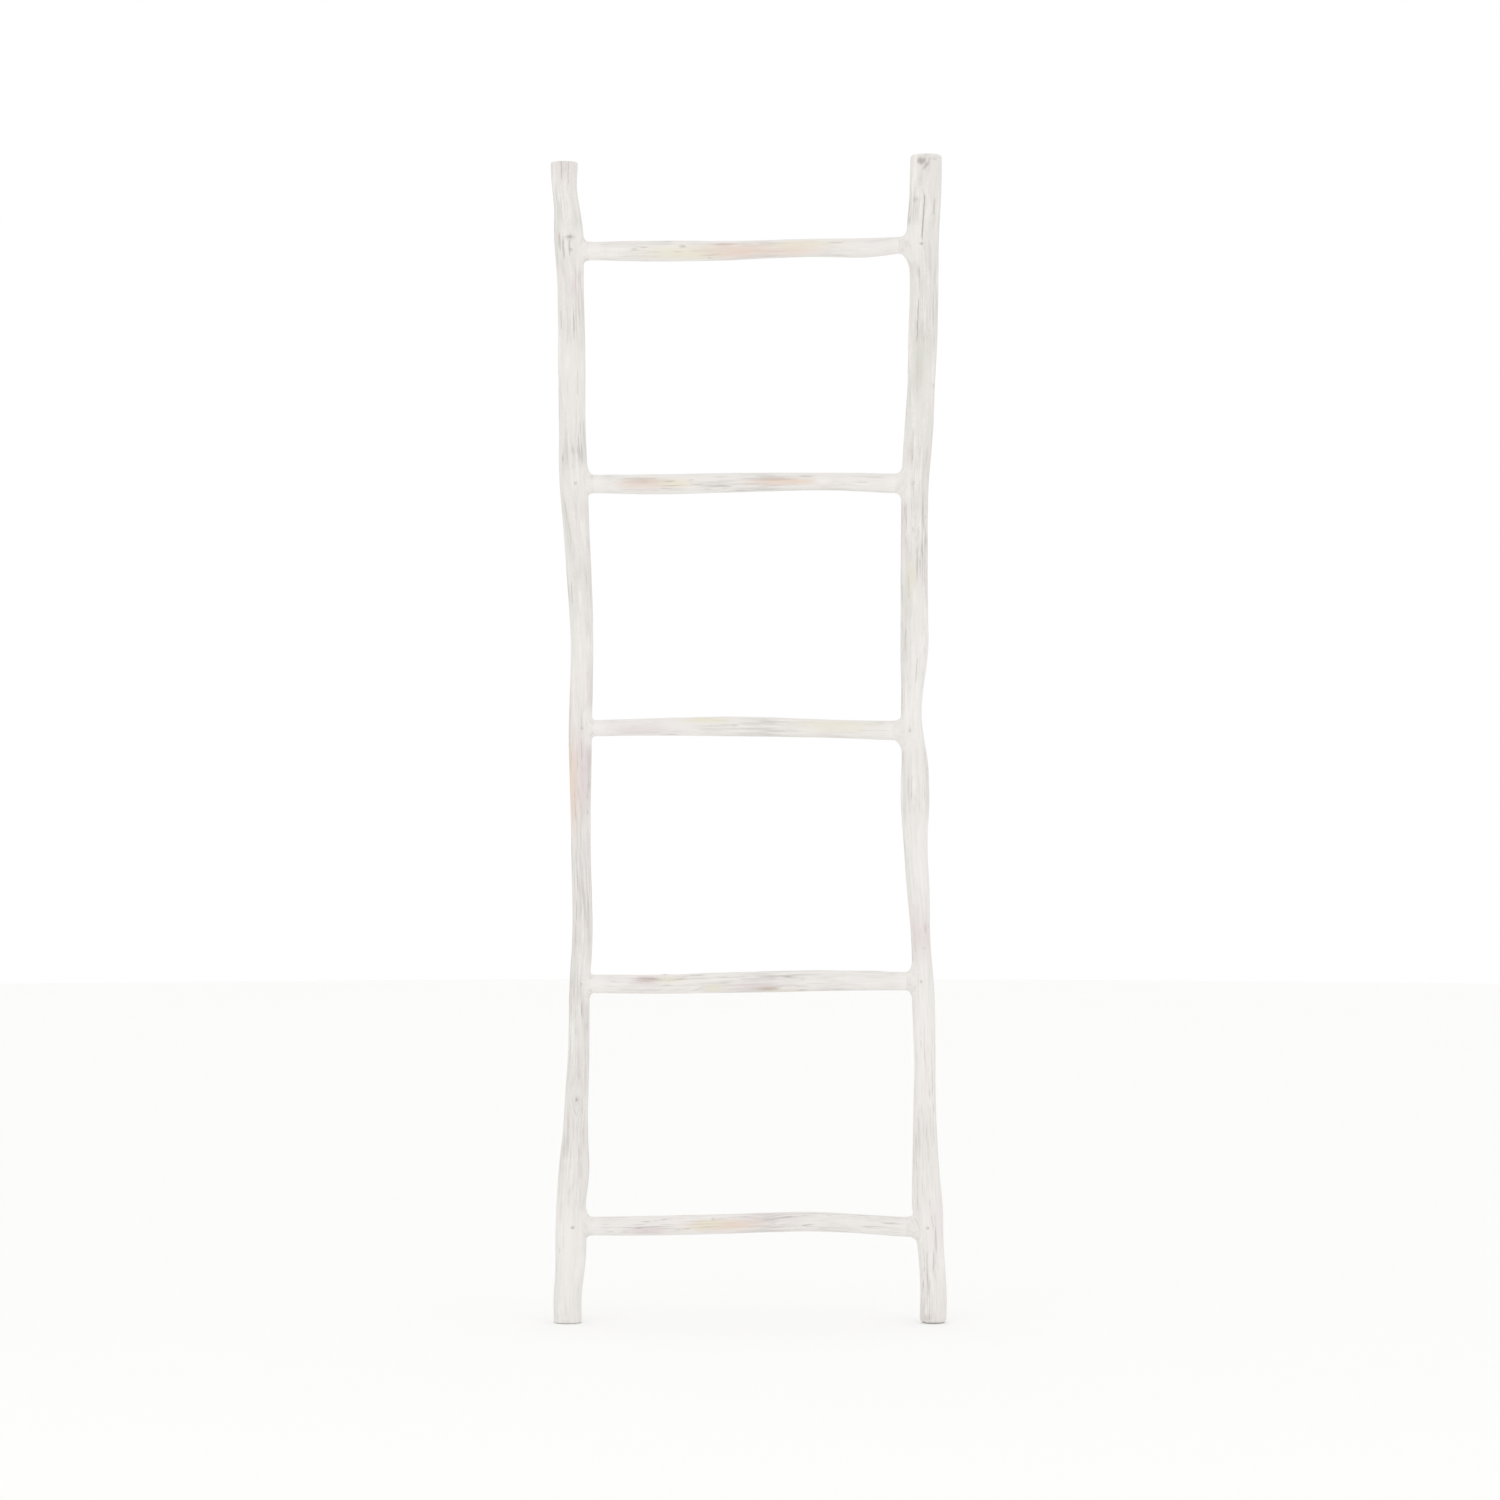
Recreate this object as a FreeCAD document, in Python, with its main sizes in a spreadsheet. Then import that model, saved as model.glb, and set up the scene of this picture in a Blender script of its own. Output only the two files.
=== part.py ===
import FreeCAD, Part
import math
import os
from typing import NamedTuple

import Sketcher
from FreeCAD import Placement, Rotation, Vector

# A blanket ladder of two crooked branch rails and five branch rungs. Each rung has a round tenon on
# both ends, glued into a blind mortise of the rail and pinned by a nail from the front, and a bead
# of filler fairs it into the rail.
#
# Frame: +Z up along the rails, the front faces -Y, +X is to the right as seen from the front, and
# the origin is on the floor midway between the rails. Millimetres.

SIZES = {
    # Overall
    "ladder_height": 1500.0,
    "left_rail_shortfall": 9.0,
    "rail_spacing": 450.0,
    "bottom_rung_height": 124.0,
    "top_rung_drop": 120.0,
    # Branches, before their swellings and waists
    "rail_girth": 33.0,
    "rung_girth": 25.0,
    "rung_straight_end": 32.0,
    # Worn ends of the rails
    "left_foot_round": 2.0,
    "left_top_round": 2.5,
    "right_foot_round": 6.0,
    "right_top_round": 4.5,
    # Tenon and mortise
    "tenon_diameter": 15.0,
    "tenon_depth": 18.0,
    "tenon_root": 12.0,
    "tenon_chamfer": 1.0,
    "mortise_clearance": 0.1,
    "mortise_end_gap": 1.0,
    # Nail
    "nail_shank": 1.6,
    "nail_head": 2.8,
    "nail_head_thickness": 0.7,
    "nail_length": 20.0,
    "nail_point": 2.5,
    "nail_set": 0.8,
    "nail_inset": 3.0,
    "nail_clearance": 0.05,
    "nail_end_gap": 0.5,
    # Filler beads
    "bead_bed": 6.0,
    "bead_edge": 0.5,
    "bead_lip": 0.6,
    "bead_cheek": 1.2,
    "fit_gap": 0.2,
}


class Station(NamedTuple):
    """A round section of a rail: a share of the way up a span, and how far it leaves the straight.

    Span 0 runs from the floor to the bottom rung, span 5 from the top rung to the rail's top.
    bend is to the right, sway to the back, and swell is added to the rail's girth.
    """

    span: int
    share: float
    bend: float
    sway: float
    swell: float


class Course(NamedTuple):
    """A round section of a rung: a share of the way from rail to rail, its rise, sway and swell."""

    share: float
    rise: float
    sway: float
    swell: float


class End(NamedTuple):
    """The end of a rung where it meets a rail: how far it rises, and its swell."""

    rise: float
    swell: float


class Bead(NamedTuple):
    """How far a bead of filler climbs the rail above and below the rung, and reaches along it."""

    above: float
    below: float
    reach: float


RAIL_STATIONS = {
    "left": [
        Station(0, 0.0, -6.3, 0.0, 3.5),
        Station(0, 0.35, -7.0, 1.5, 3.6),
        Station(0, 0.7, -3.8, 2.5, 6.5),
        Station(1, 0.0, -3.7, 3.0, 6.5),
        Station(1, 0.12, -2.5, 3.5, 5.2),
        Station(1, 0.27, 1.2, 4.0, 5.6),
        Station(1, 0.42, 2.5, 3.5, -1.5),
        Station(1, 0.62, 5.2, 2.0, -4.2),
        Station(1, 0.82, 7.2, 0.0, -6.2),
        Station(2, 0.0, 8.2, -1.5, -6.5),
        Station(2, 0.2, 11.5, -3.0, -6.7),
        Station(2, 0.45, 10.2, -4.0, -8.0),
        Station(2, 0.75, 9.0, -3.0, -6.0),
        Station(3, 0.0, 8.8, -1.0, -2.8),
        Station(3, 0.3, 10.7, 1.5, -4.0),
        Station(3, 0.6, 7.5, 3.0, -1.0),
        Station(3, 0.8, 3.7, 3.2, 0.5),
        Station(4, 0.0, 0.2, 2.5, 3.8),
        Station(4, 0.2, -1.5, 1.0, 1.6),
        Station(4, 0.45, -2.2, -1.0, 2.2),
        Station(4, 0.68, -2.9, -2.2, 1.5),
        Station(4, 0.85, -3.9, -3.0, 1.5),
        Station(5, 0.0, -5.3, -3.0, 5.0),
        Station(5, 0.35, -7.3, -2.0, 2.0),
        Station(5, 0.62, -11.0, -0.5, -1.2),
        Station(5, 0.85, -12.2, 0.5, 1.0),
        Station(5, 1.0, -11.6, 1.0, 1.6),
    ],
    "right": [
        Station(0, 0.0, 11.7, 0.0, 1.5),
        Station(0, 0.5, 11.4, -1.5, 0.6),
        Station(1, 0.0, 6.5, -3.0, 4.0),
        Station(1, 0.12, 3.8, -3.5, 6.0),
        Station(1, 0.35, 1.5, -2.5, -1.5),
        Station(1, 0.55, 1.0, -1.0, -4.8),
        Station(1, 0.78, 0.8, 1.0, -4.8),
        Station(2, 0.0, -1.2, 2.5, -4.8),
        Station(2, 0.2, -4.4, 3.5, -7.7),
        Station(2, 0.4, -7.8, 3.5, -3.2),
        Station(2, 0.53, -10.3, 3.0, -2.5),
        Station(2, 0.78, -11.2, 1.0, 4.0),
        Station(2, 0.9, -12.3, 0.0, -0.4),
        Station(3, 0.0, -15.8, -1.0, -4.5),
        Station(3, 0.1, -15.9, -1.5, -5.8),
        Station(3, 0.28, -12.8, -3.0, 1.6),
        Station(3, 0.5, -12.5, -3.5, 2.6),
        Station(3, 0.75, -12.5, -2.5, 1.5),
        Station(4, 0.0, -11.5, -1.0, 2.2),
        Station(4, 0.12, -8.8, 0.5, 3.6),
        Station(4, 0.35, -4.4, 2.2, 2.9),
        Station(4, 0.58, -1.6, 3.0, 4.1),
        Station(4, 0.8, 0.4, 2.5, 3.6),
        Station(5, 0.0, -1.0, 1.0, 7.5),
        Station(5, 0.4, 0.5, -1.0, 8.6),
        Station(5, 0.7, 2.2, -2.0, 8.0),
        Station(5, 1.0, 3.0, -2.0, 7.2),
    ],
}

# The rungs from the floor up, and how far each stands above its even place.
RUNG_SHIFTS = {
    "bottom_rung": 0.0,
    "lower_rung": -1.0,
    "middle_rung": 11.0,
    "upper_rung": 12.0,
    "top_rung": 0.0,
}

RUNG_ENDS = {
    "bottom_rung": {"left": End(-0.5, -1.0), "right": End(-0.5, 0.5)},
    "lower_rung": {"left": End(-2.0, -1.0), "right": End(1.5, -1.5)},
    "middle_rung": {"left": End(0.8, -4.0), "right": End(-2.2, -0.5)},
    "upper_rung": {"left": End(-0.5, -1.0), "right": End(0.0, 0.0)},
    "top_rung": {"left": End(-4.0, -1.0), "right": End(4.0, -3.5)},
}

RUNG_COURSES = {
    "bottom_rung": [
        Course(0.25, 0.6, -1.5, 0.4),
        Course(0.5, 4.0, -2.5, 0.2),
        Course(0.68, 6.0, -2.0, 0.0),
        Course(0.84, 2.0, -1.5, -0.4),
    ],
    "lower_rung": [
        Course(0.25, -2.3, 1.5, -0.3),
        Course(0.5, 0.2, 2.0, 2.0),
        Course(0.7, 2.0, 1.0, 1.7),
    ],
    "middle_rung": [
        Course(0.25, 2.3, -1.0, -2.2),
        Course(0.5, 2.5, -2.0, 0.4),
        Course(0.75, -0.2, -1.5, -1.4),
    ],
    "upper_rung": [
        Course(0.25, -1.0, 1.0, 1.0),
        Course(0.5, 1.3, 2.0, -0.2),
        Course(0.7, 2.5, 1.5, -2.0),
    ],
    "top_rung": [
        Course(0.25, -4.0, -1.5, 1.8),
        Course(0.5, -2.6, -1.5, -0.6),
        Course(0.65, 0.2, -0.5, -1.8),
        Course(0.84, 0.8, 0.5, 0.0),
    ],
}

BEADS = {
    "bottom_rung": {"left": Bead(15.0, 4.0, 9.0), "right": Bead(8.0, 7.0, 12.0)},
    "lower_rung": {"left": Bead(4.0, 8.0, 5.0), "right": Bead(14.0, 12.0, 9.0)},
    "middle_rung": {"left": Bead(3.0, 4.0, 4.0), "right": Bead(5.0, 15.0, 12.0)},
    "upper_rung": {"left": Bead(13.0, 4.0, 8.0), "right": Bead(9.0, 10.0, 9.0)},
    "top_rung": {"left": Bead(8.0, 4.0, 7.0), "right": Bead(11.0, 20.0, 12.0)},
}

SIDES = {"left": -1, "right": 1}  # which way each rail lies from the middle
RUNGS = list(RUNG_SHIFTS)
BEAD_STEPS = (0.0, 0.25, 0.5, 0.75, 1.0)  # shares of a bead's reach that get a section

LOFT_DEGREE = 2  # a higher degree swings past its sections
SAME_HEIGHT = 0.01  # how near an edge's middle is to the end that it belongs to
FULL_TURN = 360
QUARTER_TURN = 90
MM3_PER_CM3 = 1000

# The numbers by which a sketch knows its own origin and axes, and a line's two ends.
H_AXIS, V_AXIS, ORIGIN = -1, -2, -1
START, FINISH = 1, 2

ALONG_DEPTH = Rotation(Vector(1, 0, 0), -QUARTER_TURN)  # a cylinder's axis turned to +Y
LEVEL = Rotation(Vector(0, 0, 1), QUARTER_TURN)  # a level ring, its seam at the back
ACROSS = Rotation(QUARTER_TURN, 0, QUARTER_TURN)  # a ring stood up across +X, its seam at the back
# An ellipse stood up across +X, its long axis along +Z
ON_EDGE = Rotation(Vector(0, 1, 0), -QUARTER_TURN)

doc = FreeCAD.newDocument("blanket_ladder")
sheet = doc.addObject("Spreadsheet::Sheet", "Sizes")


def fill_sheet(values):
    """Put each named value in a cell of its own, with its name as the cell's alias."""
    for row, (name, value) in enumerate(values.items(), start=1):
        sheet.set(f"A{row}", str(value))
        sheet.setAlias(f"A{row}", name)
    doc.recompute()


def named_fields(prefix, record):
    """One named value for each field of a station, course, end or bead."""
    return {f"{prefix}_{field}": value for field, value in record._asdict().items()}


def all_values():
    """The driving sizes, and the values of the stations, courses, ends and beads."""
    values = dict(SIZES)
    for side, stations in RAIL_STATIONS.items():
        for index, station in enumerate(stations):
            values.update(named_fields(f"{side}_rail_{index}", station))
            del values[f"{side}_rail_{index}_span"]
    for rung in RUNGS:
        values[f"{rung}_shift"] = RUNG_SHIFTS[rung]
        for index, course in enumerate(RUNG_COURSES[rung]):
            values.update(named_fields(f"{rung}_{index}", course))
        for side in SIDES:
            values.update(named_fields(f"{rung}_{side}", RUNG_ENDS[rung][side]))
            values.update(named_fields(f"{rung}_{side}_bead", BEADS[rung][side]))
    return values


def size(name):
    """The text by which an expression reads a value of the sheet."""
    return f"Sizes.{name}"


# Places on the ladder, each as the text of an expression.


def rung_height(rung):
    """The height of a rung's nominal line: an even place, and the rung's own shift."""
    lowest = size("bottom_rung_height")
    highest = f"({size('ladder_height')} - {size('top_rung_drop')})"
    share = RUNGS.index(rung) / (len(RUNGS) - 1)
    return f"({lowest} + {share} * ({highest} - {lowest}) + {size(rung + '_shift')})"


def rail_top(side):
    """The height of a rail's top."""
    if side == "left":
        return f"({size('ladder_height')} - {size('left_rail_shortfall')})"
    return size("ladder_height")


def station_height(side, index):
    """The height of a rail's section, a share of the way up its span."""
    levels = ["0"] + [rung_height(rung) for rung in RUNGS] + [rail_top(side)]
    span = RAIL_STATIONS[side][index].span
    low, high = levels[span], levels[span + 1]
    return f"({low} + {size(f'{side}_rail_{index}_share')} * ({high} - {low}))"


def station_x(side, index):
    """How far right a rail's section stands."""
    return f"({SIDES[side]} * {size('rail_spacing')} / 2 + {size(f'{side}_rail_{index}_bend')})"


def station_girth(side, index):
    """The diameter of a rail's section."""
    return f"({size('rail_girth')} + {size(f'{side}_rail_{index}_swell')})"


class Joint:
    """The place where a rung enters a rail. Its places and radii are the texts of expressions."""

    def __init__(self, rung, side):
        self.name = f"{rung}_{side}"
        self.rung = rung
        self.side = side
        self.outward = SIDES[side]
        self.outwards = Rotation(Vector(0, 1, 0), QUARTER_TURN * self.outward)
        span = RUNGS.index(rung) + 1
        stations = RAIL_STATIONS[side]
        at = next(i for i, s in enumerate(stations) if s.span == span and s.share == 0)
        self.rail_x = station_x(side, at)
        self.rail_radius = f"{station_girth(side, at)} / 2"
        self.y = size(f"{side}_rail_{at}_sway")
        self.z = f"({rung_height(rung)} + {size(f'{self.name}_rise')})"
        self.rung_radius = f"({size('rung_girth')} + {size(f'{self.name}_swell')}) / 2"
        self.rail_face = f"({self.rail_x} - {self.outward} * {self.rail_radius})"

    def inward(self, distance):
        """The x that lies a distance from the rail's face towards the middle of the ladder."""
        return f"({self.rail_face} - {self.outward} * ({distance}))"


# Makers of plain features, bound to the sheet


def bind(feature, **expressions):
    """Bind properties of a feature, with a double underscore standing for a dot."""
    for path, expression in expressions.items():
        feature.setExpression(path.replace("__", "."), str(expression))


def place(feature, x, y, z, rotation=Rotation()):
    """Turn a feature and bind its place."""
    feature.Placement = Placement(Vector(), rotation)
    bind(feature, Placement__Base__x=x, Placement__Base__y=y, Placement__Base__z=z)


def rod(name, radius, length, x, y, z, rotation):
    """A cylinder that starts at a place and runs along its turned axis."""
    cylinder = doc.addObject("Part::Cylinder", name)
    bind(cylinder, Radius=radius, Height=length)
    place(cylinder, x, y, z, rotation)
    return cylinder


def joined(name, pieces):
    """One shape from several."""
    fuse = doc.addObject("Part::MultiFuse", name)
    fuse.Shapes = pieces
    return fuse


def cut(name, base, *tools):
    """A base with its tools taken away one after the other. The last result carries the name."""
    for count, tool in enumerate(tools, start=1):
        result = doc.addObject("Part::Cut", name if count == len(tools) else f"{name}_cut_{count}")
        result.Base = base
        result.Tool = tool
        base = result
    return base


def origin_plane(body, role):
    """A body's own origin plane."""
    return next(f for f in body.Origin.OriginFeatures if f.Role == role)


def circle(name, radius, x, y, z, rotation):
    """A round section."""
    ring = doc.addObject("Part::Circle", name)
    bind(ring, Radius=radius)
    place(ring, x, y, z, rotation)
    return ring


def loft(name, rings):
    """A solid that runs smoothly through its sections."""
    through = doc.addObject("Part::Loft", name)
    through.Sections = rings
    through.Solid = True
    through.MaxDegree = LOFT_DEGREE
    return through


def round_end(body, height, radius):
    """Wear the edge of a rail's end, which lies at a height."""
    doc.recompute()
    base = body.Tip
    edges = [
        f"Edge{number}"
        for number, edge in enumerate(base.Shape.Edges, start=1)
        if abs(edge.CenterOfMass.z - height) < SAME_HEIGHT
    ]
    fillet = body.newObject("PartDesign::Fillet", f"{body.Name}_round_{round(height)}")
    fillet.Base = (base, edges)
    bind(fillet, Radius=radius)


# Rails


def rail_branch(name, side, allowance):
    """A rail's branch, made thicker all round by an allowance."""
    return loft(
        name,
        [
            circle(
                f"{name}_{index}",
                f"{station_girth(side, index)} / 2 + {allowance}",
                station_x(side, index),
                size(f"{side}_rail_{index}_sway"),
                station_height(side, index),
                LEVEL,
            )
            for index in range(len(RAIL_STATIONS[side]))
        ],
    )


def mortise(joint):
    """The blind round hole that takes a tenon."""
    return rod(
        f"{joint.name}_mortise",
        f"{size('tenon_diameter')} / 2 + {size('mortise_clearance')}",
        f"{size('tenon_root')} + {size('tenon_depth')} + {size('mortise_end_gap')}",
        joint.inward(size("tenon_root")),
        joint.y,
        joint.z,
        joint.outwards,
    )


def nail_place(joint):
    """Where the top of a nail's head is: set below the rail's front, a little inside its middle."""
    x = f"{joint.rail_x} - {joint.outward} * {size('nail_inset')}"
    front = f"{joint.y} - sqrt(({joint.rail_radius})^2 - {size('nail_inset')}^2)"
    return x, f"({front} + {size('nail_set')})", joint.z


def nail_hole(joint):
    """The hole of a nail's shank, and the wider pit above its head's seat."""
    x, y, z = nail_place(joint)
    clearance = size("nail_clearance")
    thickness = size("nail_head_thickness")
    shank = rod(
        f"{joint.name}_nail_bore",
        f"{size('nail_shank')} / 2 + {clearance}",
        f"{size('nail_length')} + {size('nail_end_gap')}",
        x,
        y,
        z,
        ALONG_DEPTH,
    )
    pit = rod(
        f"{joint.name}_nail_pit",
        f"{size('nail_head')} / 2 + {clearance}",
        f"{joint.rail_radius} + {thickness}",
        x,
        f"{y} - {joint.rail_radius}",
        z,
        ALONG_DEPTH,
    )
    return joined(f"{joint.name}_nail_hole", [shank, pit])


def rail(side, joints):
    """A rail with its worn ends, mortises and nail holes."""
    blank = doc.addObject("PartDesign::Body", f"{side}_rail_blank")
    blank.BaseFeature = rail_branch(f"{side}_rail_branch", side, "0")
    top = SIZES["ladder_height"] - (SIZES["left_rail_shortfall"] if side == "left" else 0)
    round_end(blank, 0, size(f"{side}_foot_round"))
    round_end(blank, top, size(f"{side}_top_round"))
    holes = [mortise(joint) for joint in joints] + [nail_holes[joint.name] for joint in joints]
    return cut(f"{side}_rail", blank, joined(f"{side}_rail_holes", holes))


# Rungs


def rung_branch(name, rung, allowance):
    """A rung's branch from the middle of one rail to the middle of the other, straight at its ends."""
    left, right = (joint_at[rung, side] for side in SIDES)

    def at_end(joint, inset):
        return joint.rung_radius, f"{joint.rail_x} - {joint.outward} * {inset}", joint.y, joint.z

    def between(index):
        share = size(f"{rung}_{index}_share")
        radius = f"({size('rung_girth')} + {size(f'{rung}_{index}_swell')}) / 2"
        x = f"{left.rail_x} + {share} * ({right.rail_x} - {left.rail_x})"
        y = f"{left.y} + {share} * ({right.y} - {left.y}) + {size(f'{rung}_{index}_sway')}"
        return radius, x, y, f"{rung_height(rung)} + {size(f'{rung}_{index}_rise')}"

    straight = size("rung_straight_end")
    places = [at_end(left, 0), at_end(left, straight)]
    places += [between(index) for index in range(len(RUNG_COURSES[rung]))]
    places += [at_end(right, straight), at_end(right, 0)]
    return loft(
        name,
        [
            circle(f"{name}_{number}", f"{radius} + {allowance}", x, y, z, ACROSS)
            for number, (radius, x, y, z) in enumerate(places)
        ],
    )


def tenon(joint):
    """A round tenon with a chamfered end, from inside the rung to its depth in the rail."""
    radius = f"{size('tenon_diameter')} / 2"
    chamfer = size("tenon_chamfer")
    shaft = rod(
        f"{joint.name}_tenon_shaft",
        radius,
        f"{size('tenon_root')} + {size('tenon_depth')} - {chamfer}",
        joint.inward(size("tenon_root")),
        joint.y,
        joint.z,
        joint.outwards,
    )
    nose = doc.addObject("Part::Cone", f"{joint.name}_tenon_nose")
    bind(nose, Radius1=radius, Radius2=f"{radius} - {chamfer}", Height=chamfer)
    shoulder = joint.inward(f"{chamfer} - {size('tenon_depth')}")
    place(nose, shoulder, joint.y, joint.z, joint.outwards)
    return [shaft, nose]


def rung_piece(rung):
    """A rung scribed to both rails, with its tenons and the nails' holes through them."""
    joints = [joint_at[rung, side] for side in SIDES]
    branch = rung_branch(f"{rung}_branch", rung, "0")
    shoulders = cut(f"{rung}_shoulders", branch, *rail_envelopes.values())
    tenons = [piece for joint in joints for piece in tenon(joint)]
    whole = joined(f"{rung}_with_tenons", [shoulders] + tenons)
    return cut(rung, whole, *(nail_holes[joint.name] for joint in joints))


# Nails


def nail(joint):
    """A round nail: a flat head, a shank and a point, turned about its own axis along +Y."""
    body = doc.addObject("PartDesign::Body", f"{joint.name}_nail")
    sketch = body.newObject("Sketcher::SketchObject", f"{joint.name}_nail_profile")
    sketch.AttachmentSupport = (origin_plane(body, "XY_Plane"), "")
    sketch.MapMode = "FlatFace"
    head, shank = f"{size('nail_head')} / 2", f"{size('nail_shank')} / 2"
    thickness, length = size("nail_head_thickness"), size("nail_length")
    outline(
        sketch,
        [
            (None, None),
            (head, None),
            (head, thickness),
            (shank, thickness),
            (shank, f"{length} - {size('nail_point')}"),
            (None, length),
        ],
    )
    turned = body.newObject("PartDesign::Revolution", f"{joint.name}_nail_turned")
    turned.Profile = sketch
    turned.ReferenceAxis = (sketch, ["V_Axis"])
    turned.Angle = FULL_TURN
    place(body, *nail_place(joint))
    return body


def outline(sketch, corners):
    """A closed outline of straight lines, drawn roughly and then held by its constraints.

    Each corner has an x and a y, None where it is on that axis.
    """
    count = len(corners)
    rough = [Vector(index, 2 * index, 0) for index in range(count)]
    for index, start in enumerate(rough):
        sketch.addGeometry(Part.LineSegment(start, rough[(index + 1) % count]))
    for index in range(count):
        before = (index - 1) % count
        sketch.addConstraint(Sketcher.Constraint("Coincident", before, FINISH, index, START))
    for index, (x, y) in enumerate(corners):
        for kind, value, axis in (("DistanceX", x, V_AXIS), ("DistanceY", y, H_AXIS)):
            if value is None:
                sketch.addConstraint(Sketcher.Constraint("PointOnObject", index, START, axis))
                continue
            rough_value = index + 1
            number = sketch.addConstraint(
                Sketcher.Constraint(kind, ORIGIN, START, index, START, rough_value)
            )
            sketch.renameConstraint(number, f"{kind}_{index}")
            bind(sketch, **{f"Constraints__{kind}_{index}": value})


# Filler beads


def bead(joint):
    """A ring of filler, concave from the rail's face to the rung, without the wood that it hugs."""
    rim = size("bead_lip")

    def spread(full, share):
        """How far the bead stands off the rung, a share of its reach from the rail: a quarter round."""
        left_over = 1 - math.sqrt(1 - (1 - share) ** 2)
        return f"({rim} + ({size(full)} - {rim}) * {left_over})"

    def section(number, distance, share):
        above = spread(f"{joint.name}_bead_above", share)
        below = spread(f"{joint.name}_bead_below", share)
        ring = doc.addObject("Part::Ellipse", f"{joint.name}_bead_{number}")
        bind(
            ring,
            MajorRadius=f"{joint.rung_radius} + ({above} + {below}) / 2",
            MinorRadius=f"{joint.rung_radius} + {spread('bead_cheek', share)}",
        )
        place(ring, joint.inward(distance), joint.y, f"{joint.z} + ({above} - {below}) / 2", ON_EDGE)
        return ring

    edge = size("bead_edge")
    rings = [section("bed", f"-{size('bead_bed')}", 0)]
    for number, share in enumerate(BEAD_STEPS):
        reach = f"{edge} + ({size(joint.name + '_bead_reach')} - {edge}) * {share}"
        rings.append(section(number, reach, share))
    lump = loft(f"{joint.name}_bead_lump", rings)
    return cut(f"{joint.name}_filler", lump, rail_envelopes[joint.side], rung_envelopes[joint.rung])


# The ladder

fill_sheet(all_values())

joint_at = {(rung, side): Joint(rung, side) for rung in RUNGS for side in SIDES}
nail_holes = {joint.name: nail_hole(joint) for joint in joint_at.values()}
gap = size("fit_gap")
rail_envelopes = {side: rail_branch(f"{side}_rail_envelope", side, gap) for side in SIDES}
rung_envelopes = {rung: rung_branch(f"{rung}_envelope", rung, gap) for rung in RUNGS}

pieces = [rail(side, [joint_at[rung, side] for rung in RUNGS]) for side in SIDES]
pieces += [rung_piece(rung) for rung in RUNGS]
pieces += [nail(joint) for joint in joint_at.values()]
pieces += [bead(joint) for joint in joint_at.values()]
for piece in pieces:
    piece.Label = piece.Name
doc.recompute()

for feature in doc.Objects:
    if "Invalid" in feature.State or "Error" in feature.State:
        raise RuntimeError(f"{feature.Name} failed: {feature.State}")

for piece in pieces:
    if piece.Shape.isNull() or not piece.Shape.isValid():
        raise RuntimeError(f"{piece.Label} has no valid shape")
    if len(piece.Shape.Solids) != 1:
        raise RuntimeError(f"{piece.Label} is {len(piece.Shape.Solids)} solids")

os.makedirs("parts", exist_ok=True)
for piece in pieces:
    piece.Shape.exportStep(os.path.join("parts", f"{piece.Label}.step"))
    print(f"{piece.Label}: {piece.Shape.Volume / MM3_PER_CM3:.3f} cm3")
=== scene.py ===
"""A whitewashed branch ladder, dressed over its measured construction.

Two crooked rails carry five rungs. Each rung end is held by a tenon and a nail, and a bead of filler
fairs it into its rail. Every piece is a surface wrapped round a spine of rings, and the rings are
measured from the construction, so each piece stays where it is. Lengths are in metres, and MM turns
millimetres into them.
"""

import logging
import math
import random
from abc import ABC, abstractmethod
from contextlib import contextmanager
from dataclasses import dataclass, field, fields
from enum import Enum
from functools import reduce
from typing import Any, Iterable, Iterator, Mapping, Optional, Sequence, Union

import bpy
import numpy as np
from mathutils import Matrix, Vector
from mathutils.bvhtree import BVHTree


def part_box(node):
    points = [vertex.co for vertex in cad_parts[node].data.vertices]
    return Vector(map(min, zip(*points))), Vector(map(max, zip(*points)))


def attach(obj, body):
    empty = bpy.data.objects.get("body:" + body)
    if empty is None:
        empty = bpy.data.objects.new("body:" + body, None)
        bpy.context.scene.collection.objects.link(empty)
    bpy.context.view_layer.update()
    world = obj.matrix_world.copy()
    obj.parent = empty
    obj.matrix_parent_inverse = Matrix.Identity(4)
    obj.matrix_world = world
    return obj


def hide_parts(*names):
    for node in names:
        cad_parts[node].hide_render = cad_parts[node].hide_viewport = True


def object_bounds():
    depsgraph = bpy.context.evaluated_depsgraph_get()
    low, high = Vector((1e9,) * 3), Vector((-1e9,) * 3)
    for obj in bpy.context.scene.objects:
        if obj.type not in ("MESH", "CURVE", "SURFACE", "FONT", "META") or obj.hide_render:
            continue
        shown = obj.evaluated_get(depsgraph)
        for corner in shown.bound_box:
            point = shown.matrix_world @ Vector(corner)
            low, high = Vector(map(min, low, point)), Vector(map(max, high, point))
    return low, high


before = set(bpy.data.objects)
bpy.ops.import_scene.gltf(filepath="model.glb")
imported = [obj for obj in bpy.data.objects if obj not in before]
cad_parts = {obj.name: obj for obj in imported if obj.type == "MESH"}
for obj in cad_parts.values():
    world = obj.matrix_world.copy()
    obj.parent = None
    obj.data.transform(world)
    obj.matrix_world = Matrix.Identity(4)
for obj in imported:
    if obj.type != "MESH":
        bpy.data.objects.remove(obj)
CAD_LOW, CAD_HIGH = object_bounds()

MM = 0.001
TURN = 2 * math.pi
LOG = logging.getLogger("blanket_ladder")

Colour = tuple[float, float, float, float]


def seen(red: int, green: int, blue: int) -> Colour:
    """A colour as the eye sees it, in steps of 0 to 255, turned into light."""
    shares = [step / 255 for step in (red, green, blue)]
    light = [s / 12.92 if s <= 0.04045 else ((s + 0.055) / 1.055) ** 2.4 for s in shares]
    return (light[0], light[1], light[2], 1.0)


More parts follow.
